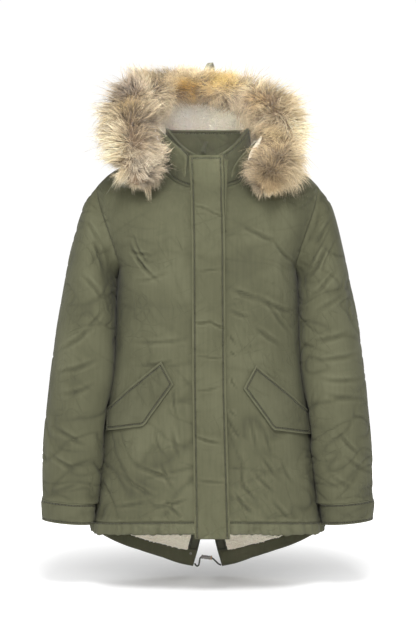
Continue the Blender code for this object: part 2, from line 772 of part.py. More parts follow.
def placket_edges(z):
    for high, low in zip(PLACKET, PLACKET[1:]):
        if z >= low.z:
            break
    share = min(max((high.z - z) / (high.z - low.z), 0.0), 1.0)
    return high.left + (low.left - high.left) * share, high.right + (low.right - high.right) * share


def strip_rows(top, foot, count, edges, columns):
    rows = []
    for i in range(count + 1):
        z = top + (foot - top) * i / count
        left, right = edges(z)
        rows.append([(left + (right - left) * j / columns, z) for j in range(columns + 1)])
    return rows


def placket():
    """The storm flap over the front opening, from the collar's top edge to just past the hem."""
    top, foot = PLACKET[0].z - 5.0, PLACKET[-1].z + 8.0
    rows = strip_rows(top, foot, PLACKET_ROWS, placket_edges, 4)
    outer, inner = lying_on(on_front, rows, LAYER_GAP + 1.2, PLAIN_WALL)
    rise, drop = Vector((0, 0, 5.0)), Vector((0, 0, -8.0 - PLACKET_DROP))
    for grid in (outer, inner):
        grid.insert(0, [p + rise for p in grid[0]])
        grid.append([p + drop for p in grid[-1]])
    wall("placket", outer, inner, twill)


def under_strip():
    """The edge of the front's own facing, which shows beside the placket's top."""

    def edges(z):
        right = placket_edges(z)[1] + 1.6
        share = (z - UNDER_STRIP_FOOT_Z) / (PLACKET[0].z - UNDER_STRIP_FOOT_Z)
        return right, right + UNDER_STRIP_WIDTH * max(share, 0.15)

    rows = strip_rows(PLACKET[0].z - 7.0, UNDER_STRIP_FOOT_Z, 6, edges, 1)
    outer, inner = lying_on(on_front, rows, LAYER_GAP + 1.2, 1.2)
    wall("under_strip", outer, inner, twill)


placket()
under_strip()

# ---------------------------------------------------------------- hood


def lean(point):
    """The hood leans to the wearer's right, more the higher up."""
    share = min(max((point.z - LEAN_FROM_Z) / (LEAN_FULL_Z - LEAN_FROM_Z), 0.0), 1.0)
    return point - Vector((0, 0, HOOD_LEAN * share * point.x))


def hood_point(row, side, share, edge):
    """A hood ring's point: share 0 is the centre back, 1 the face edge, `edge` degrees round."""
    turn = math.radians(edge * share)
    sine, cosine = math.sin(turn), math.cos(turn)
    depth = row.back_y - row.centre_y if cosine > 0 else row.centre_y - row.front_y
    if cosine > 0:
        z = row.side_z + (row.back_z - row.side_z) * cosine * cosine
        if row.edge <= 92:
            z = row.back_z + (row.edge_z - row.back_z) * share
    else:
        z = row.side_z + (row.edge_z - row.side_z) * (cosine / math.cos(math.radians(row.edge))) ** 2
    return lean(Vector((side * row.width * sine, row.centre_y + depth * cosine, z)))


def hood_rows(side, ends):
    """Grid of the hood's outside; ends gives for each place how much of the ring is kept."""
    grid = []
    for place, end in zip(HOOD_PLACES, ends):
        row = row_at(HOOD, place)
        line = [hood_point(row, side, end * j / HOOD_COLUMNS, row.edge) for j in range(HOOD_COLUMNS + 1)]
        grid.append([clear_of(p, (collar_tree, panel_tree), HOOD_CLEARANCE, 12.0) for p in line])
    return grid


def hood_normals(grid):
    """Normals of the hood's grid; on the seams between its halves they lie in the seam's plane."""
    normals = grid_normals(grid, lambda point: point - Vector((0, 62, 70)))
    seam = [(i, 0) for i in range(len(grid))] + [(len(grid) - 1, j) for j in range(len(grid[0]))]
    normals[-1] = [sum(normals[-1], Vector()).normalized() for _ in normals[-1]]
    for i, j in seam:
        normals[i][j] = Vector((0, normals[i][j].y, normals[i][j].z)).normalized()
    return normals


def kept_share(place, side, fur_tree):
    """How far round its ring the hood runs before it meets the fur."""
    row = row_at(HOOD, place)
    share = 0.3
    while share < 1.0:
        outer = hood_point(row, side, share + SHARE_STEP, row.edge)
        inward = (Vector((0, 62, 70)) - outer).normalized()
        for depth in (0.0, PLAIN_WALL):
            away = outer + inward * depth
            foot, normal, _, gap = fur_tree.find_nearest(away)
            if gap < FUR_SEAM or (away - foot).dot(normal) < -0.3 * gap:
                return share
        share += SHARE_STEP
    return 1.0


def hood_half(side_name, side, fur_tree):
    """One half of the hood: its twill shell, and the pile lining made from the shell's points."""
    last = HOOD_PLACES[-1]
    shares = []
    for place in HOOD_PLACES:
        nearby = (max(place - 0.15, 0), place, min(place + 0.15, last))
        shares.append(min(kept_share(p, side, fur_tree) for p in nearby))
    for i in range(1, len(shares)):
        shares[i] = min(shares[i], shares[i - 1] + 0.15)
    for i in range(len(shares) - 2, -1, -1):
        shares[i] = min(shares[i], shares[i + 1] + 0.15)
    shell = drawn_in(hood_rows(side, shares))
    normals = hood_normals(shell)
    wall(f"hood_{side_name}", shell, moved(shell, normals, -PLAIN_WALL), twill)
    lined = [row[:-1] for row in shell[LINING_FROM_ROW:]]
    lined_normals = [row[:-1] for row in normals[LINING_FROM_ROW:]]
    face = moved(lined, lined_normals, -PLAIN_WALL - LAYER_GAP)
    wall(f"hood_lining_{side_name}", face, moved(face, lined_normals, -PILE_WALL), pile)


# ---------------------------------------------------------------- fur trim


def fur_lump(along, turn):
    waves = math.sin(23 * along + 2 * turn) + math.sin(41 * along - 3 * turn + 1.3)
    return 1 + FUR_LUMP * 0.5 * waves


def fur_sections():
    sections = []
    last = len(FUR) - 1
    for i in range(FUR_SECTIONS + 1):
        at = last * i / FUR_SECTIONS
        row = row_at(FUR, at)
        ahead, behind = row_at(FUR, min(at + 0.1, last)), row_at(FUR, max(at - 0.1, 0))
        along = (Vector(ahead[:3]) - Vector(behind[:3])).normalized()
        across = along.cross(Vector((0, 1, 0))).normalized()
        deep = across.cross(along).normalized()
        section = []
        for j in range(FUR_SIDES):
            turn = 2 * math.pi * j / FUR_SIDES
            size = fur_lump(i / FUR_SECTIONS, turn)
            spread = across * (row.radius * size * math.cos(turn)) + deep * (row.depth * size * math.sin(turn))
            point = Vector(row[:3]) + spread
            trees = [panel_tree, collar_tree]
            if point.z < FUR_ON_HOOD_BELOW_Z:
                trees += whole_hood_trees
            section.append(clear_of(point, trees, FUR_REST))
        sections.append(section)
    return sections


def fur_trim():
    """A fat roll with rounded ends, as far out as the fur's hair reaches."""
    sections = fur_sections()
    points, faces = [], []
    for section in sections:
        points += section
    for i in range(len(sections) - 1):
        for j in range(FUR_SIDES):
            a, b = i * FUR_SIDES + j, i * FUR_SIDES + (j + 1) % FUR_SIDES
            faces.append((a, b, b + FUR_SIDES, a + FUR_SIDES))
    for section, neighbour, start in (
        (sections[0], sections[1], 0),
        (sections[-1], sections[-2], (len(sections) - 1) * FUR_SIDES),
    ):
        centre = sum(section, Vector()) / FUR_SIDES
        outward = (centre - sum(neighbour, Vector()) / FUR_SIDES).normalized()
        rim = start
        for size, push in ((0.72, 10.0), (0.35, 15.0)):
            first = len(points)
            points += [centre + (p - centre) * size + outward * push for p in section]
            for j in range(FUR_SIDES):
                k = (j + 1) % FUR_SIDES
                faces.append((rim + j, rim + k, first + k, first + j))
            rim = first
        points.append(centre + outward * 17.0)
        faces += [(rim + j, rim + (j + 1) % FUR_SIDES, len(points) - 1) for j in range(FUR_SIDES)]
    made = solid("fur_trim", [p * MM for p in points], faces, fur_hair)
    work = bmesh.new()
    work.from_mesh(made.data)
    bmesh.ops.recalc_face_normals(work, faces=work.faces)
    work.to_mesh(made.data)
    tree = BVHTree.FromPolygons([v.co / MM for v in work.verts], [[v.index for v in f.verts] for f in work.faces])
    work.free()
    return tree


whole = [1.0] * len(HOOD_PLACES)
whole_hood_trees = [tree_of([hood_rows(side, whole)]) for _, side in SIDES]
fur_tree = fur_trim()
for side_name, side in SIDES:
    hood_half(side_name, side, fur_tree)


# ---------------------------------------------------------------- loops, drawcord and its lock


def tube(name, points, diameter, finish, steps=1):
    """A round cord along a smooth curve through the points, cut into steps between each two."""
    curve = bpy.data.curves.new(name, "CURVE")
    curve.dimensions = "3D"
    curve.bevel_depth = 0.5 * diameter * MM
    curve.bevel_resolution = 2
    curve.use_fill_caps = True
    places = [i / steps for i in range(steps * (len(points) - 1) + 1)]
    smooth = [Vector([smooth_between([p[k] for p in points], place) for k in range(3)]) for place in places]
    spline = curve.splines.new("POLY")
    spline.points.add(len(smooth) - 1)
    for knot, point in zip(spline.points, smooth):
        knot.co = (*(point * MM), 1.0)
    curve.materials.append(finish)
    made = bpy.data.objects.new(name, curve)
    parka.objects.link(made)
    return made


def loop_points(width, rise, place, hang=1):
    """Two legs and a round bend, standing up from its place or hanging down."""
    bend = 0.5 * width
    legs = [place + Vector((-bend, 0, hang * (rise - bend) * k / 2)) for k in range(2)]
    top = place + Vector((0, 0, hang * (rise - bend)))
    for k in range(9):
        turn = math.pi * k / 8
        legs.append(top + Vector((-bend * math.cos(turn), 0, hang * bend * math.sin(turn))))
    return legs + [place + Vector((bend, 0, hang * (rise - bend) * k / 2)) for k in (1, 0)]


def cylinder(name, start, end, radius, finish, sides=16):
    """A bevelled cylinder from one point to the other."""
    axis = end - start
    bpy.ops.mesh.primitive_cylinder_add(vertices=sides, radius=radius * MM, depth=axis.length * MM)
    made = bpy.context.object
    made.name = made.data.name = name
    made.rotation_mode = "QUATERNION"
    made.rotation_quaternion = axis.to_track_quat("Z", "Y")
    made.location = 0.5 * (start + end) * MM
    made.data.materials.append(finish)
    for collection in list(made.users_collection):
        collection.objects.unlink(made)
    parka.objects.link(made)
    return made


def ring(name, centre, hole, wire, finish):
    """A wire ring lying against cloth whose inside faces -Y."""
    bpy.ops.mesh.primitive_torus_add(
        major_segments=16, minor_segments=6, major_radius=(hole + wire) * MM, minor_radius=wire * MM
    )
    made = bpy.context.object
    made.name = made.data.name = name
    made.rotation_euler = (math.radians(90), 0, 0)
    made.location = centre * MM
    made.data.materials.append(finish)
    for collection in list(made.users_collection):
        collection.objects.unlink(made)
    parka.objects.link(made)


def on_cord_plane(x, z):
    return Vector((x, CORD_Y, z))


tube("crown_tab", loop_points(TAB_WIDTH - TAB_CORD, TAB_RISE, TAB_PLACE), TAB_CORD, twill)
hanger_place = Vector((HANGER_X, HANGER_Y, HANGER_TOP_Z))
tube("hanger_loop", loop_points(HANGER_WIDTH, HANGER_DROP, hanger_place, -1), HANGER_CORD, inner_twill)
tube("drawcord_right", [on_cord_plane(*p) for p in CORD_RIGHT], CORD_DIAMETER, cord_braid, 2)
tube("drawcord_left", [on_cord_plane(*p) for p in CORD_LEFT], CORD_DIAMETER, cord_braid, 2)
lock_from, lock_to = on_cord_plane(*LOCK_FROM), on_cord_plane(*LOCK_TO)
along_lock = (lock_to - lock_from).normalized()
cylinder("cord_lock", lock_from, lock_to, LOCK_RADIUS, metal)
ring_from = lock_to + along_lock * LAYER_GAP
cylinder("cord_ring", ring_from, ring_from + along_lock * RING_LENGTH, RING_RADIUS, metal)
ring("eyelet", EYELET_PLACE, EYELET_HOLE, EYELET_WIRE, metal)
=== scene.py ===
"""A fur trimmed parka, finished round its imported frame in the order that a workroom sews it.

Each section holds one piece, or a group of like pieces: what it is, its sizes, cloth, shape and finish.
Lengths are in metres unless a name says mm, and the wearer faces -Y.
"""

import math

import bmesh
import bpy
import numpy as np
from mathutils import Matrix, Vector, kdtree, noise
from mathutils.bvhtree import BVHTree


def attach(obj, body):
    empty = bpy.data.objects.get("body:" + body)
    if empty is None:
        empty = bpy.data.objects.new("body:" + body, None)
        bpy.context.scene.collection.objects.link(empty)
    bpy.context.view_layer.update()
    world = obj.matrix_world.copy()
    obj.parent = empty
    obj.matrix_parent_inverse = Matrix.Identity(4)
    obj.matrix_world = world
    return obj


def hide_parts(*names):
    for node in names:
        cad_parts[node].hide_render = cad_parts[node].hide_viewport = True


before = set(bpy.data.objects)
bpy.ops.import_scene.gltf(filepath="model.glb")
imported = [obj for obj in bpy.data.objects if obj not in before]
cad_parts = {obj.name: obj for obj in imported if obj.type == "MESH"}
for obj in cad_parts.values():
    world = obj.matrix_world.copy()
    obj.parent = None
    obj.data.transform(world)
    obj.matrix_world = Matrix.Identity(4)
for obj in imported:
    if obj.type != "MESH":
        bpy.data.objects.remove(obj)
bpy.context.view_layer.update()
SIDES = (("right", -1), ("left", 1))


# ---- Studio: a pale sweep of paper under the coat, one broad softbox in front and one on each side,
# ---- and a camera level with the waist.

CAMERA_PLACE = (0.0009, -3.2, -0.2627)
LENS_MM = 99.8
FLOOR_Z, FLOOR_RADIUS = -0.768, 9.0
AMBIENT, BACKDROP = 0.20, 1.02
# The paper glows, and paints a shadow by giving off little light at the shade's centre, and all of its
# light from so far out.
SHADE_CENTRE, SHADE_RADIUS, SHADE_GLOW, PAPER_GLOW = (0.0, 0.22, FLOOR_Z), 0.75, 0.12, 0.9


def srgb(code):
    """A hex colour as the linear colour that shader sockets take."""
    channels = [int(code[i : i + 2], 16) / 255 for i in (1, 3, 5)]
    return (*[c / 12.92 if c <= 0.04045 else ((c + 0.055) / 1.055) ** 2.4 for c in channels], 1.0)


def add_node(tree, kind, settings=None, **inputs):
    """Adds a node; _0 stands for its first input, and so on.

    An input given as a socket, or as a node for its first output, is linked, and any other is set.
    """
    node = tree.nodes.new("ShaderNode" + kind)
    for key, value in (settings or {}).items():
        setattr(node, key, value)
    for key, value in inputs.items():
        socket = node.inputs[int(key[1:])] if key[1:].isdigit() else node.inputs[key.replace("_", " ")]
        if isinstance(value, bpy.types.Node):
            value = value.outputs[0]
        if isinstance(value, bpy.types.NodeSocket):
            tree.links.new(value, socket)
        else:
            socket.default_value = value
    return node


def new_material(name, **shader_inputs):
    """A material, its nodes and the Principled shader in them."""
    material = bpy.data.materials.new(name)
    material.use_nodes = True
    shader = material.node_tree.nodes["Principled BSDF"]
    for key, value in shader_inputs.items():
        shader.inputs[key.replace("_", " ")].default_value = value
    return material, material.node_tree, shader


def two_tone(name, texture, inputs, low, high, bump=None, settings=None, **shader_inputs):
    """A material between two tones that follow a texture; bump is its strength and its height in metres."""
    material, nodes, shader = new_material(name, **shader_inputs)
    place = add_node(nodes, "TexCoord").outputs["Object"]
    pattern = add_node(nodes, "Tex" + texture, settings, Vector=place, **inputs).outputs["Fac"]
    tone = add_node(nodes, "Mix", {"data_type": "RGBA"}, Factor=pattern, _6=srgb(low), _7=srgb(high))
    nodes.links.new(tone.outputs[2], shader.inputs["Base Color"])
    if bump:
        relief = add_node(nodes, "Bump", Height=pattern, Strength=bump[0], Distance=bump[1])
        nodes.links.new(relief.outputs["Normal"], shader.inputs["Normal"])
    return material


def linked(name, data):
    made = bpy.data.objects.new(name, data)
    bpy.context.collection.objects.link(made)
    return made


def mesh_object(name, mesh, material=None):
    if material:
        mesh.materials.clear()
        mesh.materials.append(material)
    return linked(name, mesh)


def mesh_from(shape, name):
    """Turns a bmesh into a mesh and frees it."""
    mesh = bpy.data.meshes.new(name)
    shape.to_mesh(mesh)
    shape.free()
    return mesh


camera_data = bpy.data.cameras.new("camera")
camera_data.lens = LENS_MM
camera = linked("camera", camera_data)
camera.location = CAMERA_PLACE
camera.rotation_euler = (math.radians(90), 0, 0)
bpy.context.scene.camera = camera

# Matt background paper: near white, no gloss, faint mottling from its fibres. It glows, dimmer towards
# a point under the coat, which paints the coat's shadow there and fades out into white.
paper = two_tone(
    "matt_background_paper",
    "Noise",
    {"Scale": 30.0},
    "#d6d6d6",
    "#dcdcdc",
    Roughness=0.95,
    Emission_Color=(1, 1, 1, 1),
)
paper_nodes = paper.node_tree
paper_place = add_node(paper_nodes, "TexCoord").outputs["Object"]
from_shade = add_node(paper_nodes, "VectorMath", {"operation": "DISTANCE"}, _0=paper_place, _1=SHADE_CENTRE)
# Glow that paints the shadow: dim near the shade's centre, full far out.
painted_shadow_glow = add_node(
    paper_nodes,
    "MapRange",
    {"interpolation_type": "SMOOTHSTEP"},
    Value=from_shade.outputs["Value"],
    From_Max=SHADE_RADIUS,
    To_Min=SHADE_GLOW,
    To_Max=PAPER_GLOW,
)
paper_shader = paper_nodes.nodes["Principled BSDF"]
paper_nodes.links.new(painted_shadow_glow.outputs[0], paper_shader.inputs["Emission Strength"])
floor_shape = bmesh.new()
bmesh.ops.create_circle(floor_shape, cap_ends=True, segments=96, radius=FLOOR_RADIUS)
bmesh.ops.translate(floor_shape, verts=floor_shape.verts, vec=(0, 0, FLOOR_Z))
mesh_object("floor", mesh_from(floor_shape, "floor"), paper)

# White paper behind the coat; the light that it gives off is softer than it looks.
world = bpy.data.worlds.new("studio")
world.use_nodes = True
world_nodes = world.node_tree
glow = world_nodes.nodes["Background"]
glow.inputs["Color"].default_value = (1, 1, 1, 1)
glow.inputs["Strength"].default_value = AMBIENT
seen = add_node(world_nodes, "Background", Color=(1, 1, 1, 1), Strength=BACKDROP)
ray = add_node(world_nodes, "LightPath").outputs["Is Camera Ray"]
backdrop = add_node(world_nodes, "MixShader", _0=ray, _1=glow.outputs[0], _2=seen.outputs[0])
world_nodes.links.new(backdrop.outputs[0], world_nodes.nodes["World Output"].inputs["Surface"])
bpy.context.scene.world = world
bpy.context.scene.view_settings.view_transform = "Standard"

for light_name, place, aim, width, height, power, spread in (
    ("softbox_key", (0.15, -2.5, 1.9), (0, 0, -0.3), 0.9, 0.9, 94, 180),
    ("softbox_front", (-0.5, -3.2, 0.4), (0, 0, -0.2), 1.5, 1.5, 43, 180),
    ("softbox_left", (2.6, -1.5, 1.5), (0, 0, -0.3), 1.4, 2.0, 22, 180),
    ("softbox_right", (-2.4, -1.6, 1.8), (0, 0, -0.3), 1.4, 1.4, 34, 180),
    ("softbox_back", (0.8, 3.0, 1.4), (0, 0, -0.3), 2.0, 2.0, 50, 180),
    ("softbox_hood", (0.0, -2.2, 0.05), (0, 0.06, 0.11), 0.15, 0.15, 0.14, 8),
    ("softbox_vent", (0.0, -2.2, -0.73), (0, 0.08, -0.695), 0.15, 0.15, 0.07, 9),
):
    light_data = bpy.data.lights.new(light_name, "AREA")
    light_data.shape = "RECTANGLE"
    light_data.size, light_data.size_y, light_data.energy = width, height, power
    light_data.spread = math.radians(spread)
    light = linked(light_name, light_data)
    light.location = place
    light.rotation_euler = (Vector(aim) - Vector(place)).to_track_quat("-Z", "Y").to_euler()


# ---- Hem drawcord: a soft braided cord in the channel of the fishtail. It crosses the vent outside,
# ---- through a metal lock with a ring beside it, and goes back into the band.

CORD_DIAMETER = 0.0032
CORD_Y = 0.128
CORD_ROUTE = (  # x and z
    (-0.0247, -0.7462), (-0.0236, -0.7481), (-0.0226, -0.7496), (-0.0212, -0.7509), (-0.0196, -0.7514),
    (-0.0181, -0.7508), (-0.0170, -0.7494), (-0.0163, -0.7471), (-0.0158, -0.7446), (-0.0152, -0.7407),
    (-0.0146, -0.7366), (-0.0120, -0.7336), (-0.0060, -0.7338), (0.0000, -0.7346), (0.0056, -0.7354),
    (0.0096, -0.7364), (0.0132, -0.7394), (0.0172, -0.7436), (0.0212, -0.7472), (0.0261, -0.7494),
)  # fmt: skip
LOCK_ENDS = ((-0.0120, -0.7332), (0.0056, -0.7354))
LOCK_RADIUS, LOCK_RIM, LOCK_GROOVE, LOCK_BORE = 0.0039, 0.0034, 0.0032, 0.0017
RING_RADIUS, RING_RIM, RING_BORE, RING_LENGTH = 0.0044, 0.0036, 0.0018, 0.0026
RING_GAP = 0.0003

# Braided polyester: matt, with a fine raised herringbone. Its raised threads are painted lighter, a
# painted highlight that gives it a dull sparkle, and the hollows between them darker, a painted shade.
braid = two_tone(
    "braided_polyester_cord",
    "Wave",
    {"Scale": 260.0, "Distortion": 1.5},
    "#1e1f19",
    "#3e3f33",
    (0.6, 0.0004),
    {"bands_direction": "DIAGONAL"},
    Roughness=0.75,
)
# Brushed zinc: pale cool metal, duller where it is handled.
brushing = {"Metallic": 1.0, "Roughness": 0.38}
zinc = two_tone("brushed_zinc", "Noise", {"Scale": 500.0}, "#55524e", "#aba7a1", **brushing)
# Coppery plating: warm metal, brighter in patches.
plating = {"Metallic": 1.0, "Roughness": 0.3}
plated = two_tone("coppery_plated_zinc", "Noise", {"Scale": 700.0}, "#5a4a3c", "#d8ab86", **plating)


def turned_part(name, node, start, end, profile, material):
    """A round part spun about the line from start to end; profile is (share of length, radius)."""
    shape = bmesh.new()
    axis = Vector(end) - Vector(start)
    rim = [shape.verts.new((radius, 0, share * axis.length)) for share, radius in profile]
    edges = [shape.edges.new(pair) for pair in zip(rim, rim[1:])]
    turn = dict(cent=(0, 0, 0), axis=(0, 0, 1), angle=math.tau, steps=24)
    bmesh.ops.spin(shape, geom=rim + edges, use_merge=True, **turn)
    bmesh.ops.remove_doubles(shape, verts=shape.verts, dist=1e-6)
    bmesh.ops.recalc_face_normals(shape, faces=shape.faces)
    bmesh.ops.transform(shape, verts=shape.verts, matrix=axis.to_track_quat("Z", "Y").to_matrix().to_4x4())
    bmesh.ops.translate(shape, verts=shape.verts, vec=start)
    mesh = mesh_from(shape, name)
    mesh.shade_smooth()
    mesh.set_sharp_from_angle(angle=math.radians(35))
    made = mesh_object(name, mesh, material)
    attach(made, "root")
    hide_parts(node)
    return made


cord_curve = bpy.data.curves.new("hem_drawcord", "CURVE")
cord_curve.dimensions = "3D"
cord_curve.bevel_depth = 0.5 * CORD_DIAMETER
cord_curve.bevel_resolution = 3
cord_curve.use_fill_caps = True
cord_line = cord_curve.splines.new("POLY")
cord_line.points.add(len(CORD_ROUTE) - 1)
for knot, (x, z) in zip(cord_line.points, CORD_ROUTE):
    knot.co = (x, CORD_Y, z, 1.0)
cord_curve.materials.append(braid)
hem_drawcord = linked("hem_drawcord", cord_curve)
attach(hem_drawcord, "root")
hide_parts("drawcord_right", "drawcord_left")

lock_from, lock_to = (Vector((x, CORD_Y, z)) for x, z in LOCK_ENDS)
lock_line = (lock_to - lock_from).normalized()
lock_profile = [(0, LOCK_BORE), (0, LOCK_RIM), (0.03, LOCK_RADIUS)]
for groove_from, groove_to in ((0.2, 0.32), (0.68, 0.8)):
    lock_profile += [(groove_from, LOCK_RADIUS), (groove_from + 0.03, LOCK_GROOVE)]
    lock_profile += [(groove_to - 0.03, LOCK_GROOVE), (groove_to, LOCK_RADIUS)]
lock_profile += [(0.97, LOCK_RADIUS), (1, LOCK_RIM), (1, LOCK_BORE)]
cord_lock = turned_part("cord_lock_barrel", "cord_lock", lock_from, lock_to, lock_profile, zinc)
ring_from = lock_to + lock_line * RING_GAP
ring_profile = ((0, RING_BORE), (0, RING_RIM), (0.25, RING_RADIUS))
ring_profile += tuple((1 - share, radius) for share, radius in reversed(ring_profile))
cord_ring = turned_part(
    "cord_ring_bead", "cord_ring", ring_from, ring_from + lock_line * RING_LENGTH, ring_profile, plated
)


# ---- Body: two fronts and two backs of washed cotton twill over wadding, sewn at the shoulders, the
# ---- sides and the centre back. The cloth shows soft broad folds and fine creases, painted darker where
# ---- it is sunk, a painted shade, and lighter on raised ridges, partly wear and partly painted highlight.

MM = 0.001
RIM_ANGLE = 0.9  # a wall turns from a side to its rim over a sharper edge than this
MERGE = 2e-5
SEAM_HALF = 0.0005  # corners this near the middle lie on the centre seam
SEAM_REACH = 0.0011
STITCH_DIP_MM = 1.0
# Dry creases in the cloth's form: how they lean, and how far they are apart.
CRUMPLES = ((0.95, 0.050), (-0.80, 0.040), (1.45, 0.032))
# The hem of the fishtail runs straighter than the cut: how far from the middle in mm, and the lift there.
TAIL_LIFT = ((28, 50, 85, 133, 170, 195), (0.0, 2.0, 8.0, 9.0, 5.0, 0.0))
TAIL_FROM_MM, TAIL_FULL_MM = -680.0, -735.0
FRONT_FLAT, FRONT_AREA = (0.345, 0.70), 0.162
BACK_FLAT, BACK_AREA = (0.365, 0.79), 0.179
# Creases in mm, as seen from the front: from x and z, to x and z, depth, breadth.
FRONT_CREASES = (
    (-140, -148, -92, -208, 2.1, 6),
    (-136, -128, -112, -172, 1.5, 5),
    (-143, -152, -104, -162, 1.6, 6),
    (66, -112, 118, -134, 1.8, 7),
    (118, -134, 156, -176, 1.8, 6),
    (44, -222, 92, -240, 2.0, 8),
    (92, -238, 146, -262, 2.4, 8),
    (42, -262, 76, -272, 1.8, 7),
    (88, -292, 132, -322, 2.2, 7),
    (108, -244, 150, -302, 1.6, 6),
    (-128, -208, -74, -196, 1.4, 6),
    (-132, -318, -40, -312, 1.5, 7),
    (-118, -360, -66, -352, 1.6, 6),
    (50, -586, 78, -618, 2.8, 6),
    (58, -560, 84, -596, 2.2, 6),
    (82, -548, 118, -584, 1.8, 6),
    (96, -520, 126, -560, 1.6, 6),
    (118, -600, 148, -632, 2.2, 6),
    (132, -530, 154, -572, 1.5, 6),
    (-128, -538, -62, -560, 2.4, 7),
    (-84, -532, -62, -578, 2.0, 6),
    (-150, -560, -96, -592, 2.0, 7),
    (-92, -610, -38, -596, 2.4, 6),
    (-74, -598, -48, -628, 2.2, 6),
    (-170, -612, -110, -602, 1.6, 6),
    (-66, -470, -52, -520, 1.6, 7),
    (39, -376, 51, -398, 2.4, 4),
    (39, -436, 51, -450, 1.8, 4),
    (40, -460, 56, -488, 2.8, 4.5),
    (40, -330, 50, -342, 1.6, 4),
    (38, -300, 52, -322, 1.8, 4),
    (60, -526, 64, -578, 1.8, 5),
    (78, -452, 87, -508, 1.8, 5),
    (102, -474, 114, -516, 1.6, 5),
    (-62, -396, -55, -452, 1.6, 5),
    (-96, -470, -84, -516, 1.5, 5),
)
BACK_CREASES = (
    (-140, -176, -60, -206, 2.4, 8),
    (140, -170, 62, -212, 2.4, 8),
    (-126, -246, -58, -254, 1.6, 8),
    (112, -212, 44, -222, 1.8, 8),
    (-150, -322, -64, -346, 2.2, 9),
    (132, -356, 22, -372, 2.4, 9),
    (-98, -402, -34, -398, 1.6, 8),
    (-82, -572, -52, -634, 2.0, 7),
    (70, -548, 52, -636, 2.2, 7),
    (-130, -500, -106, -600, 1.8, 8),
    (126, -510, 110, -604, 1.8, 8),
)


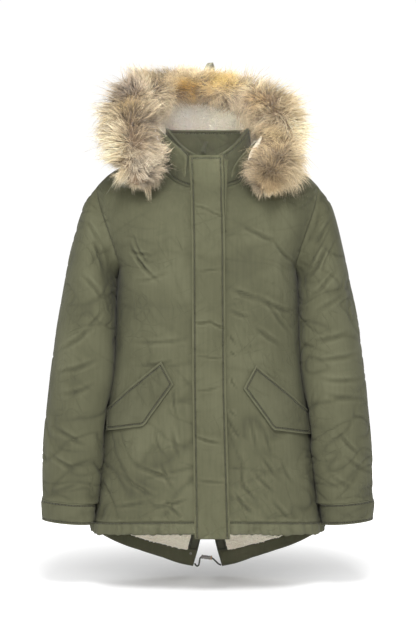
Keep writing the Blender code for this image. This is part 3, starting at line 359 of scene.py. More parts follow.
def twill_cloth(name, shadow, middle, light, stitch_mm=0.0, painted_rim_light=1.0):
    """Garment-washed cotton twill: matt, a shade lighter where it is raised, partly wear and partly painted
    highlight, and darker where it is sunk in creases, a painted shade.

    The real twill line is 0.5 mm; it is drawn at 1.6 mm so that it shows. stitch_mm is how far inside
    the edge a seam is topstitched, which draws the cloth down in a groove that is also painted darker, a
    painted shade. Within 2 mm of the rim a positive rim setting paints a highlight on the edge, and a
    negative one paints a shade along the seam.
    """
    material, nodes, shader = new_material(
        name, Roughness=0.88, IOR=1.5, Sheen_Weight=0.04, Sheen_Roughness=0.45, Specular_IOR_Level=0.25
    )
    place = add_node(nodes, "TexCoord").outputs["Object"]
    crease = add_node(nodes, "Attribute", {"attribute_name": "crease"}).outputs["Fac"]
    border = add_node(nodes, "Attribute", {"attribute_name": "border_mm"}).outputs["Fac"]
    scaled_sum, difference, size = ({"operation": does} for does in ("MULTIPLY_ADD", "SUBTRACT", "ABSOLUTE"))
    smooth = {"interpolation_type": "SMOOTHSTEP"}
    # Dye that has washed out unevenly: clouds about 90 mm across, and slubs that run down the cloth.
    clouds = add_node(nodes, "TexNoise", Vector=place, Scale=11.0, Detail=4.0, Roughness=0.6)
    down = add_node(nodes, "Mapping", Vector=place, Scale=(210.0, 210.0, 16.0))
    slubs = add_node(nodes, "TexNoise", Vector=down, Scale=1.0, Detail=3.0)
    streaks = add_node(nodes, "Math", scaled_sum, _0=slubs, _1=0.18, _2=0.34)
    dye = add_node(nodes, "Math", scaled_sum, _0=clouds, _1=0.38, _2=streaks)
    # Cloth sunk by its folds is painted darker, a painted shade, and raised cloth lighter, partly wear and
    # partly painted highlight.
    fold_wear_and_shade = add_node(nodes, "Math", scaled_sum, _0=crease, _1=0.18, _2=dye)
    # Within 2 mm of the rim a positive rim setting lifts the tone, a painted highlight on the edge, and a
    # negative one lowers it, a painted shade along the seam.
    edge = add_node(nodes, "MapRange", Value=border, From_Max=2.0, To_Min=0.22 * painted_rim_light, To_Max=0.0)
    tone = add_node(nodes, "Math", {"operation": "ADD"}, _0=fold_wear_and_shade, _1=edge)
    # The groove of the topstitching is a dip about 3 mm across at its distance from the edge, also painted
    # darker, a painted shade.
    from_stitch = add_node(nodes, "Math", difference, _0=border, _1=stitch_mm)
    off_stitch = add_node(nodes, "Math", size, _0=from_stitch)
    sunk = 1.0 if stitch_mm else 0.0
    groove = add_node(
        nodes, "MapRange", smooth, Value=off_stitch, From_Min=0.2, From_Max=1.7, To_Min=sunk, To_Max=0.0
    )
    # Dry creases, thin lines about 20 mm apart and 150 mm long in two slants, that come and go in patches.
    # They are painted a little darker, a painted shade.
    drift = add_node(nodes, "TexNoise", Vector=place, Scale=13.0, Detail=2.0)
    patch = add_node(nodes, "MapRange", Value=drift, From_Min=0.42, From_Max=0.60)
    strokes = []
    for slant, apart in ((1.15, 0.024), (-0.5, 0.019)):
        drawn_out = {"Rotation": (0.0, slant, 0.0), "Scale": (apart, apart, 7.0 * apart)}
        turned = add_node(nodes, "Mapping", {"vector_type": "TEXTURE"}, Vector=place, **drawn_out)
        wavy = add_node(nodes, "TexNoise", Vector=turned, Scale=1.0, Detail=0.0, Distortion=0.3)
        level = add_node(nodes, "Math", difference, _0=wavy, _1=0.5)
        off_level = add_node(nodes, "Math", size, _0=level)
        thin = {"From_Max": 0.05, "To_Min": 1.0, "To_Max": 0.0}
        strokes.append(add_node(nodes, "MapRange", smooth, Value=off_level, **thin))
    both = add_node(nodes, "Math", {"operation": "MAXIMUM"}, _0=strokes[0], _1=strokes[1])
    dry = add_node(nodes, "Math", {"operation": "MULTIPLY"}, _0=both, _1=patch)
    # The dry creases are painted a little darker, a painted shade.
    crease_shaded = add_node(nodes, "Math", scaled_sum, _0=dry, _1=-0.05, _2=tone)
    # The stitched groove is painted darker, a painted shade.
    toned = add_node(nodes, "Math", scaled_sum, _0=groove, _1=-0.42, _2=crease_shaded)
    spread = add_node(nodes, "MapRange", Value=toned, From_Min=0.22, From_Max=0.95)
    ramp = add_node(nodes, "ValToRGB", _0=spread)
    ramp.color_ramp.elements[0].color, ramp.color_ramp.elements[1].color = srgb(shadow), srgb(light)
    ramp.color_ramp.elements.new(0.5).color = srgb(middle)
    nodes.links.new(ramp.outputs["Color"], shader.inputs["Base Color"])
    # Relief: the twill line, and sunk into it the dry creases and the stitched groove.
    diagonal = {"bands_direction": "DIAGONAL"}
    line = add_node(nodes, "TexWave", diagonal, Vector=place, Scale=190.0, Distortion=0.4).outputs["Fac"]
    relief = add_node(nodes, "Bump", Height=line, Strength=0.25, Distance=0.0002)
    for height, strength, metres in ((dry, 0.7, 0.0008), (groove, 0.9, 0.0012)):
        relief = add_node(
            nodes, "Bump", {"invert": True}, Height=height, Strength=strength, Distance=metres, Normal=relief
        )
    nodes.links.new(relief.outputs["Normal"], shader.inputs["Normal"])
    return material


def sheets_of(shape):
    """Groups of faces that meet without a sharp rim between them, largest first."""
    waiting, groups = set(shape.faces), []
    while waiting:
        start = waiting.pop()
        group, front = [start], [start]
        while front:
            for edge in front.pop().edges:
                if len(edge.link_faces) == 2 and edge.calc_face_angle(0.0) < RIM_ANGLE:
                    for face in edge.link_faces:
                        if face in waiting:
                            waiting.remove(face)
                            group.append(face)
                            front.append(face)
        groups.append(group)
    return sorted(groups, key=lambda faces: -sum(face.calc_area() for face in faces))


# Every corner of the cloth solids, to bring the two sides of a seam together.
cloth_corners = []
for node_name, node_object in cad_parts.items():
    if node_name.startswith(("front", "back", "hem_band", "sleeve", "cuff", "hood", "collar")):
        cloth_corners += [(node_name, v.co.copy()) for v in node_object.data.vertices]


def search_tree(places):
    tree = kdtree.KDTree(len(places))
    for i, place in enumerate(places):
        tree.insert(place, i)
    tree.balance()
    return tree


seam_search = search_tree([corner for _, corner in cloth_corners])


def meet_at_seams(shape, node):
    """Moves each rim corner halfway to the piece it is sewn to."""
    for vert in shape.verts:
        others = {}
        for place, i, gap in seam_search.find_range(vert.co, SEAM_REACH):
            owner = cloth_corners[i][0]
            if owner != node and gap < others.get(owner, (1, None))[0]:
                others[owner] = (gap, place)
        if others:
            places = [place for _, place in others.values()]
            vert.co = (vert.co + sum(places, Vector())) / (1 + len(places))


def smoothed(mesh, levels):
    """The mesh as a Subdivision Surface of so many levels makes it."""
    rough = mesh_object("rough_cloth", mesh)
    modifier = rough.modifiers.new("smooth", "SUBSURF")
    modifier.levels = modifier.render_levels = levels
    evaluated = rough.evaluated_get(bpy.context.evaluated_depsgraph_get())
    finished = bpy.data.meshes.new_from_object(evaluated)
    bpy.data.objects.remove(rough)
    return finished


def share_of(value, start, full):
    """How far a value has gone from start to full, from 0 to 1."""
    return min(max((value - start) / (full - start), 0.0), 1.0)


def lift_tail(shape):
    for v in shape.verts:
        low = share_of(v.co.z / MM, TAIL_FROM_MM, TAIL_FULL_MM)
        v.co.z += low * float(np.interp(abs(v.co.x) / MM, *TAIL_LIFT)) * MM


def cloth_copy(node, levels=2, shown=(0,)):
    """A smooth copy of a CAD cloth wall as a bmesh.

    Its shown sides, by their rank in size, have material 1 and are halved once more.
    """
    shape = bmesh.new()
    shape.from_mesh(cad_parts[node].data)
    rims = shape.edges.layers.float.new("crease_edge")
    bmesh.ops.remove_doubles(shape, verts=shape.verts, dist=MERGE)
    meet_at_seams(shape, node)
    bmesh.ops.join_triangles(
        shape, faces=shape.faces, angle_face_threshold=RIM_ANGLE, angle_shape_threshold=math.pi
    )
    for face in shape.faces:
        face.material_index = 0
    sheets = sheets_of(shape)
    for face in [face for rank in shown for face in sheets[rank]]:
        face.material_index = 1
    for edge in shape.edges:
        if edge.calc_face_angle(0.0) > RIM_ANGLE:
            edge[rims] = 1.0
    mesh = mesh_from(shape, node)
    # Smoothing draws the corners in, so they first move out by as much and end where the CAD has them.
    finished = smoothed(mesh, levels)
    for corner, rounded in zip(mesh.vertices, finished.vertices):
        corner.co += corner.co - rounded.co
    bpy.data.meshes.remove(finished)
    finished = smoothed(mesh, levels)
    shape = bmesh.new()
    shape.from_mesh(finished)
    bpy.data.meshes.remove(finished)
    shown_edges = [edge for edge in shape.edges if any(face.material_index == 1 for face in edge.link_faces)]
    bmesh.ops.subdivide_edges(shape, edges=shown_edges, cuts=1, use_grid_fill=True)
    for vert in shape.verts:
        if abs(vert.co.x) < SEAM_HALF:
            vert.co.x = 0.0
    if node.startswith(("back", "hem_band_back", "vent")):
        lift_tail(shape)
    return shape


def line_relief(point, lines):
    """How deep the creases are at a place seen from the front: a dip with a raised lip on each side."""
    sunk = 0.0
    x, z = point.x / MM, point.z / MM
    for x0, z0, x1, z1, depth, breadth in lines:
        run_x, run_z = x1 - x0, z1 - z0
        length = math.hypot(run_x, run_z)
        along = ((x - x0) * run_x + (z - z0) * run_z) / length**2
        if -0.15 < along < 1.15:
            away = ((x - x0) * run_z - (z - z0) * run_x) / length
            bow = 0.035 * length * (math.sin(math.pi * along) - 0.5) + 2.2 * noise.noise(point * 38.0)
            u = (away - bow) / (0.45 * breadth)
            fade = math.sin(math.pi * (along + 0.15) / 1.3) ** 1.3
            sunk += 1.6 * depth * fade * (math.exp(-u * u) - 0.5 * math.exp(-((abs(u) - 1.9) ** 2)))
    return sunk


def crumple(point, slant, apart, seed):
    """Dry creases from 0 to 1: thin lines that lean by slant, about so far apart, and come and go."""
    cos, sin = math.cos(slant), math.sin(slant)
    across, along = point.x * cos - point.z * sin, point.x * sin + point.z * cos
    p = Vector((across / apart, 0.6 * point.y / apart + seed, 0.26 * along / apart))
    p.x += 0.6 * noise.noise(p * 0.8 + Vector((seed, 3, 5)))
    patch = 0.45 + 2.6 * noise.noise(point * 10.0 + Vector((seed, 4, 2)))
    line = max(0.0, 1.0 - abs(noise.noise(p)) / 0.14)
    return line * line * min(max(patch, 0.0), 1.0)


def soft_relief(point, swell, ridge, tilt=0.0):
    """Padded cloth: broad swells, and creases between them that run with the tilt."""
    p = Vector((point.x + tilt * point.z, point.y, point.z * 0.62))
    creases = sum(crumple(point, tilt + lean, apart, k) for k, (lean, apart) in enumerate(CRUMPLES))
    return swell * (0.45 + noise.noise(p * 15.0)) + 2.1 * ridge * creases


def press_folds(
    shape,
    sink_at,
    seam_fade_mm=11.0,
    pucker_mm=0.0,
    stitch_mm=0.0,
    stitched_rim=lambda point: True,
    puff_mm=0.0,
):
    """Sinks the shown side by sink_at(point) in mm, and keeps what the cloth's material reads.

    The cloth dips along a line stitch_mm inside its rim, or inside that part of it that is stitched.
    """
    crease = shape.verts.layers.float.new("crease")
    border = shape.verts.layers.float.new("border_mm")
    for v in shape.verts:
        v[border] = 50.0
    shape.normal_update()
    shown = [v for v in shape.verts if any(f.material_index == 1 for f in v.link_faces)]
    rim = [v for v in shown if any(f.material_index == 0 for f in v.link_faces) and stitched_rim(v.co)]
    near = search_tree([v.co for v in rim])
    moves = []
    for v in shown:
        gap_mm = near.find(v.co)[2] / MM
        fade = min(gap_mm / seam_fade_mm, 1.0)
        fade = fade * fade * (3 - 2 * fade)
        sunk = (sink_at(v.co) - puff_mm) * fade
        if pucker_mm:
            close = math.exp(-(((gap_mm - 5.0) / 5.0) ** 2)) * min(gap_mm / 2.0, 1.0)
            sunk += pucker_mm * close * noise.noise(v.co * 120.0)
        if stitch_mm:
            sunk += STITCH_DIP_MM * math.exp(-(((gap_mm - stitch_mm) / 2.0) ** 2))
        v[border] = gap_mm
        # The cloth's material paints sunk cloth darker, a painted shade, and raised cloth lighter.
        v[crease] = max(-1.0, min(1.0, -sunk / 2.4 + 0.35))
        moves.append((v, v.normal * (-sunk * MM)))
    for v, move in moves:
        v.co += move
    return shape


def finish_cloth(shape, node, material):
    for face in shape.faces:
        face.smooth = True
        face.material_index = 0
    mesh = mesh_from(shape, "cloth_" + node)
    mesh.set_sharp_from_angle(angle=math.radians(52))
    piece = mesh_object("cloth_" + node, mesh, material)
    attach(piece, "root")
    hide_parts(node)


def slack(point):
    """The skirt is more crumpled than the chest."""
    return 0.5 + 0.8 * share_of(point.z, -0.34, -0.54)


def front_sink(point):
    return soft_relief(point, 1.5, slack(point), 0.25) + line_relief(point, FRONT_CREASES)


def back_sink(point):
    return soft_relief(point, 1.6, slack(point), -0.2) + 0.6 * line_relief(point, BACK_CREASES)


shell_twill = twill_cloth("washed_cotton_twill", "#323225", "#494936", "#5e5e49", painted_rim_light=-0.25)
for side_name, _ in SIDES:
    for part, sink, flat, area in (
        ("front", front_sink, FRONT_FLAT, FRONT_AREA),
        ("back", back_sink, BACK_FLAT, BACK_AREA),
    ):
        node = f"{part}_{side_name}"
        shape = press_folds(cloth_copy(node), sink, pucker_mm=1.5)
        finish_cloth(shape, node, shell_twill)


# ---- Hem bands: the front hem is turned up and stitched, the fishtail's is the drawcord's channel.
# ---- Both are gathered a little along their seams, so that short ripples run down them.

BANDS = (("front", (0.23, 0.029), 0.0062), ("back", (0.245, 0.034), 0.0082))
BAND_STITCH_MM = 2.2
THREAD_PITCH, THREAD_WIDTH, THREAD_HEIGHT, THREAD_SUNK = 0.0036, 0.00042, 0.0004, 0.0001
# The outer end of each band rises in a round corner: where that starts, and how high it goes.
FRONT_CORNER_X, BACK_CORNER_X, CORNER_REACH, CORNER_MM = 0.199, 0.196, 0.014, 9.0


def band_sink(point):
    around = math.atan2(point.x, -point.y)
    ripple = noise.noise(Vector((around * 13.0, point.z * 6.0, 3.0)))
    gather = noise.noise(Vector((around * 27.0, point.z * 5.0, 8.0)))
    return 0.6 + 3.0 * ripple + 2.6 * gather + soft_relief(point, 0.4, 0.5)


def corner_rise(point, corner_x):
    return CORNER_MM * share_of(abs(point.x), corner_x, corner_x + CORNER_REACH) ** 2


def scallop(shape):
    """Draws the lower edge of a front band up in small waves, and rounds its outer corner."""
    low, high = min(v.co.z for v in shape.verts), max(v.co.z for v in shape.verts)
    for v in shape.verts:
        share = share_of(v.co.z, 0.6 * high + 0.4 * low, low)
        wave = 3.6 * (noise.noise(Vector((math.atan2(v.co.x, -v.co.y) * 16.0, 1.5, 2.5))) + 0.4)
        v.co.z += (wave + corner_rise(v.co, FRONT_CORNER_X)) * MM * share


def tuck_corner(shape):
    """Tucks the outer end of a back band up behind the front band's round corner."""
    for v in shape.verts:
        v.co.z += corner_rise(v.co, BACK_CORNER_X) * MM * share_of(v.co.z, -0.690, -0.705)


def stitch_runs(shape, inset_mm):
    """Points and normals along each line on the shown side that is so far inside the rim."""
    border = shape.verts.layers.float["border_mm"]
    joined = {}
    for face in shape.faces:
        if face.material_index == 1:
            cut = [e for e in face.edges if len({v[border] < inset_mm for v in e.verts}) == 2]
            if len(cut) == 2:
                joined.setdefault(cut[0], []).append(cut[1])
                joined.setdefault(cut[1], []).append(cut[0])
    seen, runs = set(), []
    for start in [e for e in joined if len(joined[e]) == 1] + list(joined):
        edge, run = start if start not in seen else None, []
        while edge:
            seen.add(edge)
            a, b = edge.verts
            share = (inset_mm - a[border]) / (b[border] - a[border])
            run.append((a.co.lerp(b.co, share), a.normal.lerp(b.normal, share)))
            edge = next((e for e in joined[edge] if e not in seen), None)
        if len(run) > 4:
            runs.append(run)
    return runs


def laid_copies(name, template, places, turns, sizes, material):
    """One piece of many small copies of a template bmesh: places (n, 3), turns (n, 3, 3), sizes (n, 3)."""
    points = np.array([v.co for v in template.verts])
    corners = np.array([[v.index for v in face.verts] for face in template.faces])
    moved = np.einsum("nij,nkj->nki", turns, points[None] * sizes[:, None]) + places[:, None]
    faces = corners[None] + (np.arange(len(places)) * len(points))[:, None, None]
    faces = faces.reshape(-1, corners.shape[1]).tolist()
    template.free()
    mesh = bpy.data.meshes.new(name)
    mesh.from_pydata(moved.reshape(-1, 3), [], faces, shade_flat=False)
    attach(mesh_object(name, mesh, material), "root")


def sew(name, shape, inset_mm):
    """Lays lockstitches along a line inside the rim: each is a short bead of thread, half sunk in."""
    places, turns = [], []
    for run in stitch_runs(shape, inset_mm):
        travelled = 0.0
        for (here, normal), (there, _) in zip(run, run[1:]):
            step = (there - here).length
            travelled += step
            if travelled >= THREAD_PITCH and step > 1e-6:
                travelled -= THREAD_PITCH
                along = (there - here).normalized()
                side_way = normal.cross(along).normalized()
                places.append(here + side_way.cross(along) * -THREAD_SUNK)
                turns.append(np.array([along, side_way, along.cross(side_way)]).T)
    bead = bmesh.new()
    bmesh.ops.create_icosphere(bead, subdivisions=1, radius=1.0)
    sizes = np.tile([0.36 * THREAD_PITCH, THREAD_WIDTH, THREAD_HEIGHT], (len(places), 1))
    laid_copies("stitches_" + name, bead, np.array(places), np.array(turns), sizes, thread)


# Polyester sewing thread: a shade paler than the cloth, with a dull sheen from its twist.
twist = {"Roughness": 0.6, "Sheen_Weight": 0.2}
thread = two_tone("polyester_sewing_thread", "Noise", {"Scale": 900.0}, "#3c3b2e", "#66644f", **twist)

band_twill = twill_cloth("washed_twill_hem", "#303024", "#464634", "#595945", BAND_STITCH_MM, -0.3)
for part, flat, area in BANDS:
    for side_name, _ in SIDES:
        node = f"hem_band_{part}_{side_name}"
        shape = cloth_copy(node)
        stitched_from = -math.inf
        if part == "front":
            scallop(shape)
            stitched_from = max(v.co.z for v in shape.verts) - 0.012
        else:
            tuck_corner(shape)
        press_folds(
            shape,
            band_sink,
            seam_fade_mm=3.5,
            stitch_mm=BAND_STITCH_MM,
            stitched_rim=lambda point: point.z > stitched_from,
            puff_mm=2.4,
        )
        sew(node, shape, BAND_STITCH_MM)
        finish_cloth(shape, node, band_twill)


# ---- Vent facings and pile lining: flat strips of twill inside the vent's edges, and the cream knitted
# ---- pile that lines the back, which shows below the front hem.

CURL_SPACING, CURL_LIFT = 0.0029, 0.0004
CURL_FROM, CURL_TO, CURL_FLATNESS = 0.0015, 0.0026, (1.0, 1.0, 0.7)

facing_twill = twill_cloth("inner_cotton_twill", "#25251c", "#36362b", "#48483b", stitch_mm=3.0)
for side_name, _ in SIDES:
    node = f"vent_facing_{side_name}"
    shape = press_folds(cloth_copy(node, shown=(1,)), lambda p: soft_relief(p, 0.3, 0.3), seam_fade_mm=6.0)
    finish_cloth(shape, node, facing_twill)


def turns_on(normals, rng):
    """A turn for each normal that stands the third axis on it, spun at random about it."""
    spin = rng.uniform(0, math.tau, len(normals))
    helper = np.where(np.abs(normals[:, 2:3]) < 0.9, [[0.0, 0.0, 1.0]], [[1.0, 0.0, 0.0]])
    first = np.cross(helper, normals)
    first /= np.linalg.norm(first, axis=1, keepdims=True)
    second = np.cross(normals, first)
    cos, sin = np.cos(spin)[:, None], np.sin(spin)[:, None]
    return np.stack([first * cos + second * sin, second * cos - first * sin, normals], axis=2)


def scattered(mesh, spacing, rng):
    """Points spread over a mesh's faces, about one for each spacing squared, with their normals."""
    mesh.calc_loop_triangles()
    corners = np.empty(len(mesh.vertices) * 3)
    mesh.vertices.foreach_get("co", corners)
    triangles = np.array([t.vertices[:] for t in mesh.loop_triangles])
    a, b, c = (corners.reshape(-1, 3)[triangles[:, k]] for k in range(3))
    normals = np.cross(b - a, c - a)
    doubled = np.linalg.norm(normals, axis=1)
    chosen = rng.choice(len(triangles), int(doubled.sum() / 2 / spacing**2), p=doubled / doubled.sum())
    u, v = rng.random((2, len(chosen), 1))
    over = u + v > 1
    u, v = np.where(over, 1 - u, u), np.where(over, 1 - v, v)
    return a[chosen] + u * (b - a)[chosen] + v * (c - a)[chosen], (normals / doubled[:, None])[chosen]


def pile_curls(name, mesh, seed, spacing=CURL_SPACING):
    """Curls of pile standing on a lining: small lumps, each turned its own way."""
    rng = np.random.default_rng(seed)
    places, normals = scattered(mesh, spacing, rng)
    curl = bmesh.new()
    bmesh.ops.create_uvsphere(curl, u_segments=4, v_segments=2, radius=1.0)
    sizes = rng.uniform(CURL_FROM, CURL_TO, (len(places), 3)) * np.array(CURL_FLATNESS)
    laid_copies(name, curl, places + normals * CURL_LIFT, turns_on(normals, rng), sizes, cream_pile)


def curls_on(name, shape, seed):
    """Curls on the shown side of a lining alone."""
    side = shape.copy()
    hidden = [face for face in side.faces if face.material_index == 0]
    bmesh.ops.delete(side, geom=hidden, context="FACES")
    pile_curls(name, mesh_from(side, "shown_side"), seed)


def pile_sink(point):
    return 0.9 * noise.noise(point * 160.0) - 0.3


# Knitted acrylic pile brushed into curls about 3 mm across: matt, no gloss, soft scatter. Its colour
# follows its relief, darker between the curls, a painted shade.
cream_pile = two_tone(
    "knitted_acrylic_pile",
    "Noise",
    {"Scale": 420.0, "Detail": 3.0, "Roughness": 0.7},
    "#dcd1b6",
    "#fffaee",
    (0.9, 0.0012),
    Roughness=1.0,
    Sheen_Weight=0.35,
    Sheen_Roughness=0.6,
    Specular_IOR_Level=0.2,
)
for side_name, side in SIDES:
    node = f"back_lining_{side_name}"
    shape = press_folds(cloth_copy(node, shown=(1,)), pile_sink, seam_fade_mm=4.0)
    curls_on(f"back_lining_curls_{side_name}", shape, 11 + side)
    finish_cloth(shape, node, cream_pile)


# ---- Pocket flaps: two layers of twill bagged out and topstitched 5 mm inside their free edges, sewn
# ---- down along the slanted upper edge. They stand a little off the fronts.

FLAP_STITCH_MM = 5.0


def flap_sink(point):
    return soft_relief(point, 0.7, 0.35)


flap_twill = twill_cloth("topstitched_twill_flap", "#2e2e22", "#444432", "#5a5a46", FLAP_STITCH_MM)
for side_name, _ in SIDES:
    node = f"pocket_flap_{side_name}"
    shape = press_folds(cloth_copy(node), flap_sink, 9.0, pucker_mm=0.5, stitch_mm=FLAP_STITCH_MM)
    sew(node, shape, FLAP_STITCH_MM)
    finish_cloth(shape, node, flap_twill)


# ---- Sleeves: set-in sleeves of the same padded twill. Folds run across them at the elbow and slant
# ---- from the armhole, where the arm hangs and the cloth is slack.

# Creases in mm, as seen from the front: from x and z, to x and z, depth, breadth.
SLEEVE_CREASES = {
    "right": (
        (-196, -134, -222, -96, 2.0, 7),
        (-186, -186, -206, -132, 2.4, 7),
        (-188, -236, -226, -196, 1.8, 8),
        (-214, -288, -190, -262, 2.0, 7),
        (-264, -330, -206, -290, 2.4, 8),
        (-268, -372, -200, -352, 2.4, 8),
        (-262, -412, -206, -396, 2.2, 8),
        (-280, -470, -226, -500, 2.0, 8),
        (-286, -520, -240, -548, 2.0, 7),
        (-282, -590, -230, -570, 1.6, 7),
    ),
    "left": (
        (196, -138, 226, -92, 2.2, 7),
        (188, -196, 218, -142, 2.6, 7),
        (186, -236, 232, -190, 2.0, 8),
        (196, -262, 246, -232, 1.6, 8),
        (190, -318, 256, -300, 2.0, 8),
        (196, -352, 270, -340, 2.2, 8),
        (206, -384, 276, -386, 2.2, 8),
        (214, -412, 286, -420, 1.8, 8),
        (238, -486, 274, -520, 2.2, 7),
        (248, -524, 290, -552, 1.8, 7),
        (222, -560, 262, -580, 1.6, 7),
    ),
}
# Where a sleeve rests against the body: the heights that are compared, how far each looks up and down,
# how much the outlines overlap, where that begins and over how much, and how far out the swell reaches.
TOUCH_STEPS, TOUCH_WINDOW = np.linspace(-0.69, -0.15, 55), 0.016
TOUCH_OVERLAP, TOUCH_TOP, TOUCH_RAMP, TOUCH_SPREAD = 0.0045, -0.158, 0.012, 0.032
NO_INNER = 1.0  # further out than any sleeve

body_points = []
for part in ("front", "back"):
    for side_name, _ in SIDES:
        body_points += [v.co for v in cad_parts[f"{part}_{side_name}"].data.vertices]


def seen_from_front(point, side):
    """How far out to its side a point lies and how high, as the camera sees it on the middle plane."""
    shrink = -CAMERA_PLACE[1] / (point.y - CAMERA_PLACE[1])
    return side * point.x * shrink, CAMERA_PLACE[2] + (point.z - CAMERA_PLACE[2]) * shrink


def lean_on_body(shape, side):
    """Swells the sleeve's inner side softly until its outline rests against the body, below the armhole."""
    inner, outer = np.full(len(TOUCH_STEPS), NO_INNER), np.zeros(len(TOUCH_STEPS))
    for points, edge, pick in (
        ([v.co for v in shape.verts], inner, np.minimum),
        (body_points, outer, np.maximum),
    ):
        for point in points:
            out, high = seen_from_front(point, side)
            near = np.abs(TOUCH_STEPS - high) < TOUCH_WINDOW
            edge[near] = pick(edge[near], out)
    gaps = np.where((inner < NO_INNER) & (outer > 0.0), np.maximum(inner - outer, 0.0), 0.0)
    for v in shape.verts:
        out, high = seen_from_front(v.co, side)
        low = share_of(v.co.z, TOUCH_TOP, TOUCH_TOP - TOUCH_RAMP)
        gap = float(np.interp(high, TOUCH_STEPS, gaps)) + TOUCH_OVERLAP
        away = max(out - float(np.interp(high, TOUCH_STEPS, inner)), 0.0)
        v.co.x -= side * low * gap * math.exp(-((away / TOUCH_SPREAD) ** 2))


def sleeve_sink(side_name, side):
    def sink(point):
        own = (0.75 if point.y < 0.02 else 0.5) * line_relief(point, SLEEVE_CREASES[side_name])
        return soft_relief(point, 1.5, 1.0, -0.3 * side) + own

    return sink


for side_name, side in SIDES:
    node = f"sleeve_{side_name}"
    shape = cloth_copy(node)
    lean_on_body(shape, side)
    press_folds(shape, sleeve_sink(side_name, side), pucker_mm=0.9)
    finish_cloth(shape, node, shell_twill)


# ---- Cuffs: 40 mm turned bands of the shell's twill, sewn round the sleeves' ends and topstitched at
# ---- their edges, with a lapped end that is stitched down.

CUFF_STITCH_MM = 3.5
# Where the lapped end shows in front: x in mm at the cuff's top and foot, and the side that lies on top.
LAPS = {"left": (296.9, 287.7, 1), "right": (-204.6, -203.0, -1)}
CUFF_TOP_MM, CUFF_FOOT_MM, LAP_MM = -604.0, -635.0, 1.5


def cuff_sink(side_name):
    top_x, foot_x, over = LAPS[side_name]

    def sink(point):
        x, z = point.x / MM, point.z / MM
        line = top_x + (foot_x - top_x) * (CUFF_TOP_MM - z) / (CUFF_TOP_MM - CUFF_FOOT_MM)
        step = 1 / (1 + math.exp(-(x - line) * over / 0.5)) if point.y < -0.02 else 0.0
        return soft_relief(point, 0.6, 0.5) - LAP_MM * step * math.exp(-abs(x - line) / 40.0)

    return sink


cuff_twill = twill_cloth("topstitched_twill_cuff", "#313125", "#474735", "#5b5b46", CUFF_STITCH_MM)
for side_name, _ in SIDES:
    node = f"cuff_{side_name}"
    shape = press_folds(cloth_copy(node), cuff_sink(side_name), 3.0, pucker_mm=0.4, stitch_mm=CUFF_STITCH_MM)
    sew(node, shape, CUFF_STITCH_MM)
    finish_cloth(shape, node, cuff_twill)


# ---- Collar: a stand collar of padded twill in the neck seam, inside the hood. It is topstitched along
# ---- its edges and open in front, behind the placket.

COLLAR_STITCH_MM = 6.0


def collar_sink(point):
    return soft_relief(point, 0.8, 0.6)


# Its tones are darker than the shell's, a painted shade for its place inside the hood.
collar_twill = twill_cloth("topstitched_twill_collar", "#2b2b1e", "#3e3e2e", "#51513e", COLLAR_STITCH_MM)
shape = cloth_copy("collar", shown=(0, 1))
press_folds(shape, collar_sink, seam_fade_mm=8.0, pucker_mm=0.5, stitch_mm=COLLAR_STITCH_MM)
sew("collar", shape, COLLAR_STITCH_MM)
finish_cloth(shape, "collar", collar_twill)


# ---- Placket: a storm flap over the front opening, two layers of twill topstitched 5 mm inside both
# ---- edges. Beside its top the edge of the front's own facing shows as a narrow strip.

PLACKET_STITCH_MM = 5.0
PLACKET_CREASES = (
    (-26, -72, 6, -80, 2.4, 4),
    (4, -82, 30, -92, 2.6, 4),
    (-26, -90, -4, -88, 0.9, 4),
    (-24, -282, 8, -280, 3.0, 4.5),
    (6, -282, 30, -292, 2.8, 4.5),
    (-24, -190, 28, -186, 1.5, 4),
    (-20, -340, 30, -346, 1.6, 4),
    (-22, -484, 20, -496, 2.6, 5),
    (-20, -404, 24, -396, 1.4, 4),
    (-16, -560, 30, -566, 1.8, 5),
)


def placket_sink(point):
    return soft_relief(point, 0.5, 0.35) + line_relief(point, PLACKET_CREASES)


placket_tones = ("#313123", "#474734", "#5c5c47")
placket_twill = twill_cloth("topstitched_twill_placket", *placket_tones, PLACKET_STITCH_MM, 0.3)
shape = cloth_copy("placket")
stitched_from = min(v.co.z for v in shape.verts) + 0.003  # the foot has no topstitching
press_folds(
    shape,
    placket_sink,
    seam_fade_mm=6.0,
    pucker_mm=1.1,
    stitch_mm=PLACKET_STITCH_MM,
    stitched_rim=lambda point: point.z > stitched_from,
)
sew("placket", shape, PLACKET_STITCH_MM)
finish_cloth(shape, "placket", placket_twill)
shape = press_folds(cloth_copy("under_strip"), lambda point: 0.0, seam_fade_mm=3.0)
finish_cloth(shape, "under_strip", shell_twill)


# ---- Hood: two halves of twill seamed from the neck over the crown and lined with cream pile. The
# ---- lining's edge is turned out over the wearer's left front, where a strip of it shows.

# The lower front ends of the hood lie back on the collar.
LIP_FROM_Y, LIP_TOP_Z, LIP_REACH, LIP_DROP = -0.045, 0.08, 0.03, 0.0075
# The strip of lining: x and z at its ends, its width, and how densely it curls.
EDGE_FROM, EDGE_TO, EDGE_WIDTH, EDGE_CURL_SPACING = (0.097, 0.056), (0.076, 0.016), 0.011, 0.0022
EDGE_ROWS, EDGE_COLUMNS, EDGE_LIFT = 12, 4, 0.0012


def hood_sink(point):
    return soft_relief(point, 0.8, 0.7)


def lie_down(shape):
    """Brings the lower front ends of the hood down on the collar."""
    for v in shape.verts:
        forward = share_of(v.co.y, LIP_FROM_Y, LIP_FROM_Y - LIP_REACH)
        low = share_of(v.co.z, LIP_TOP_Z, LIP_TOP_Z - LIP_REACH)
        v.co.y += LIP_DROP * forward * low


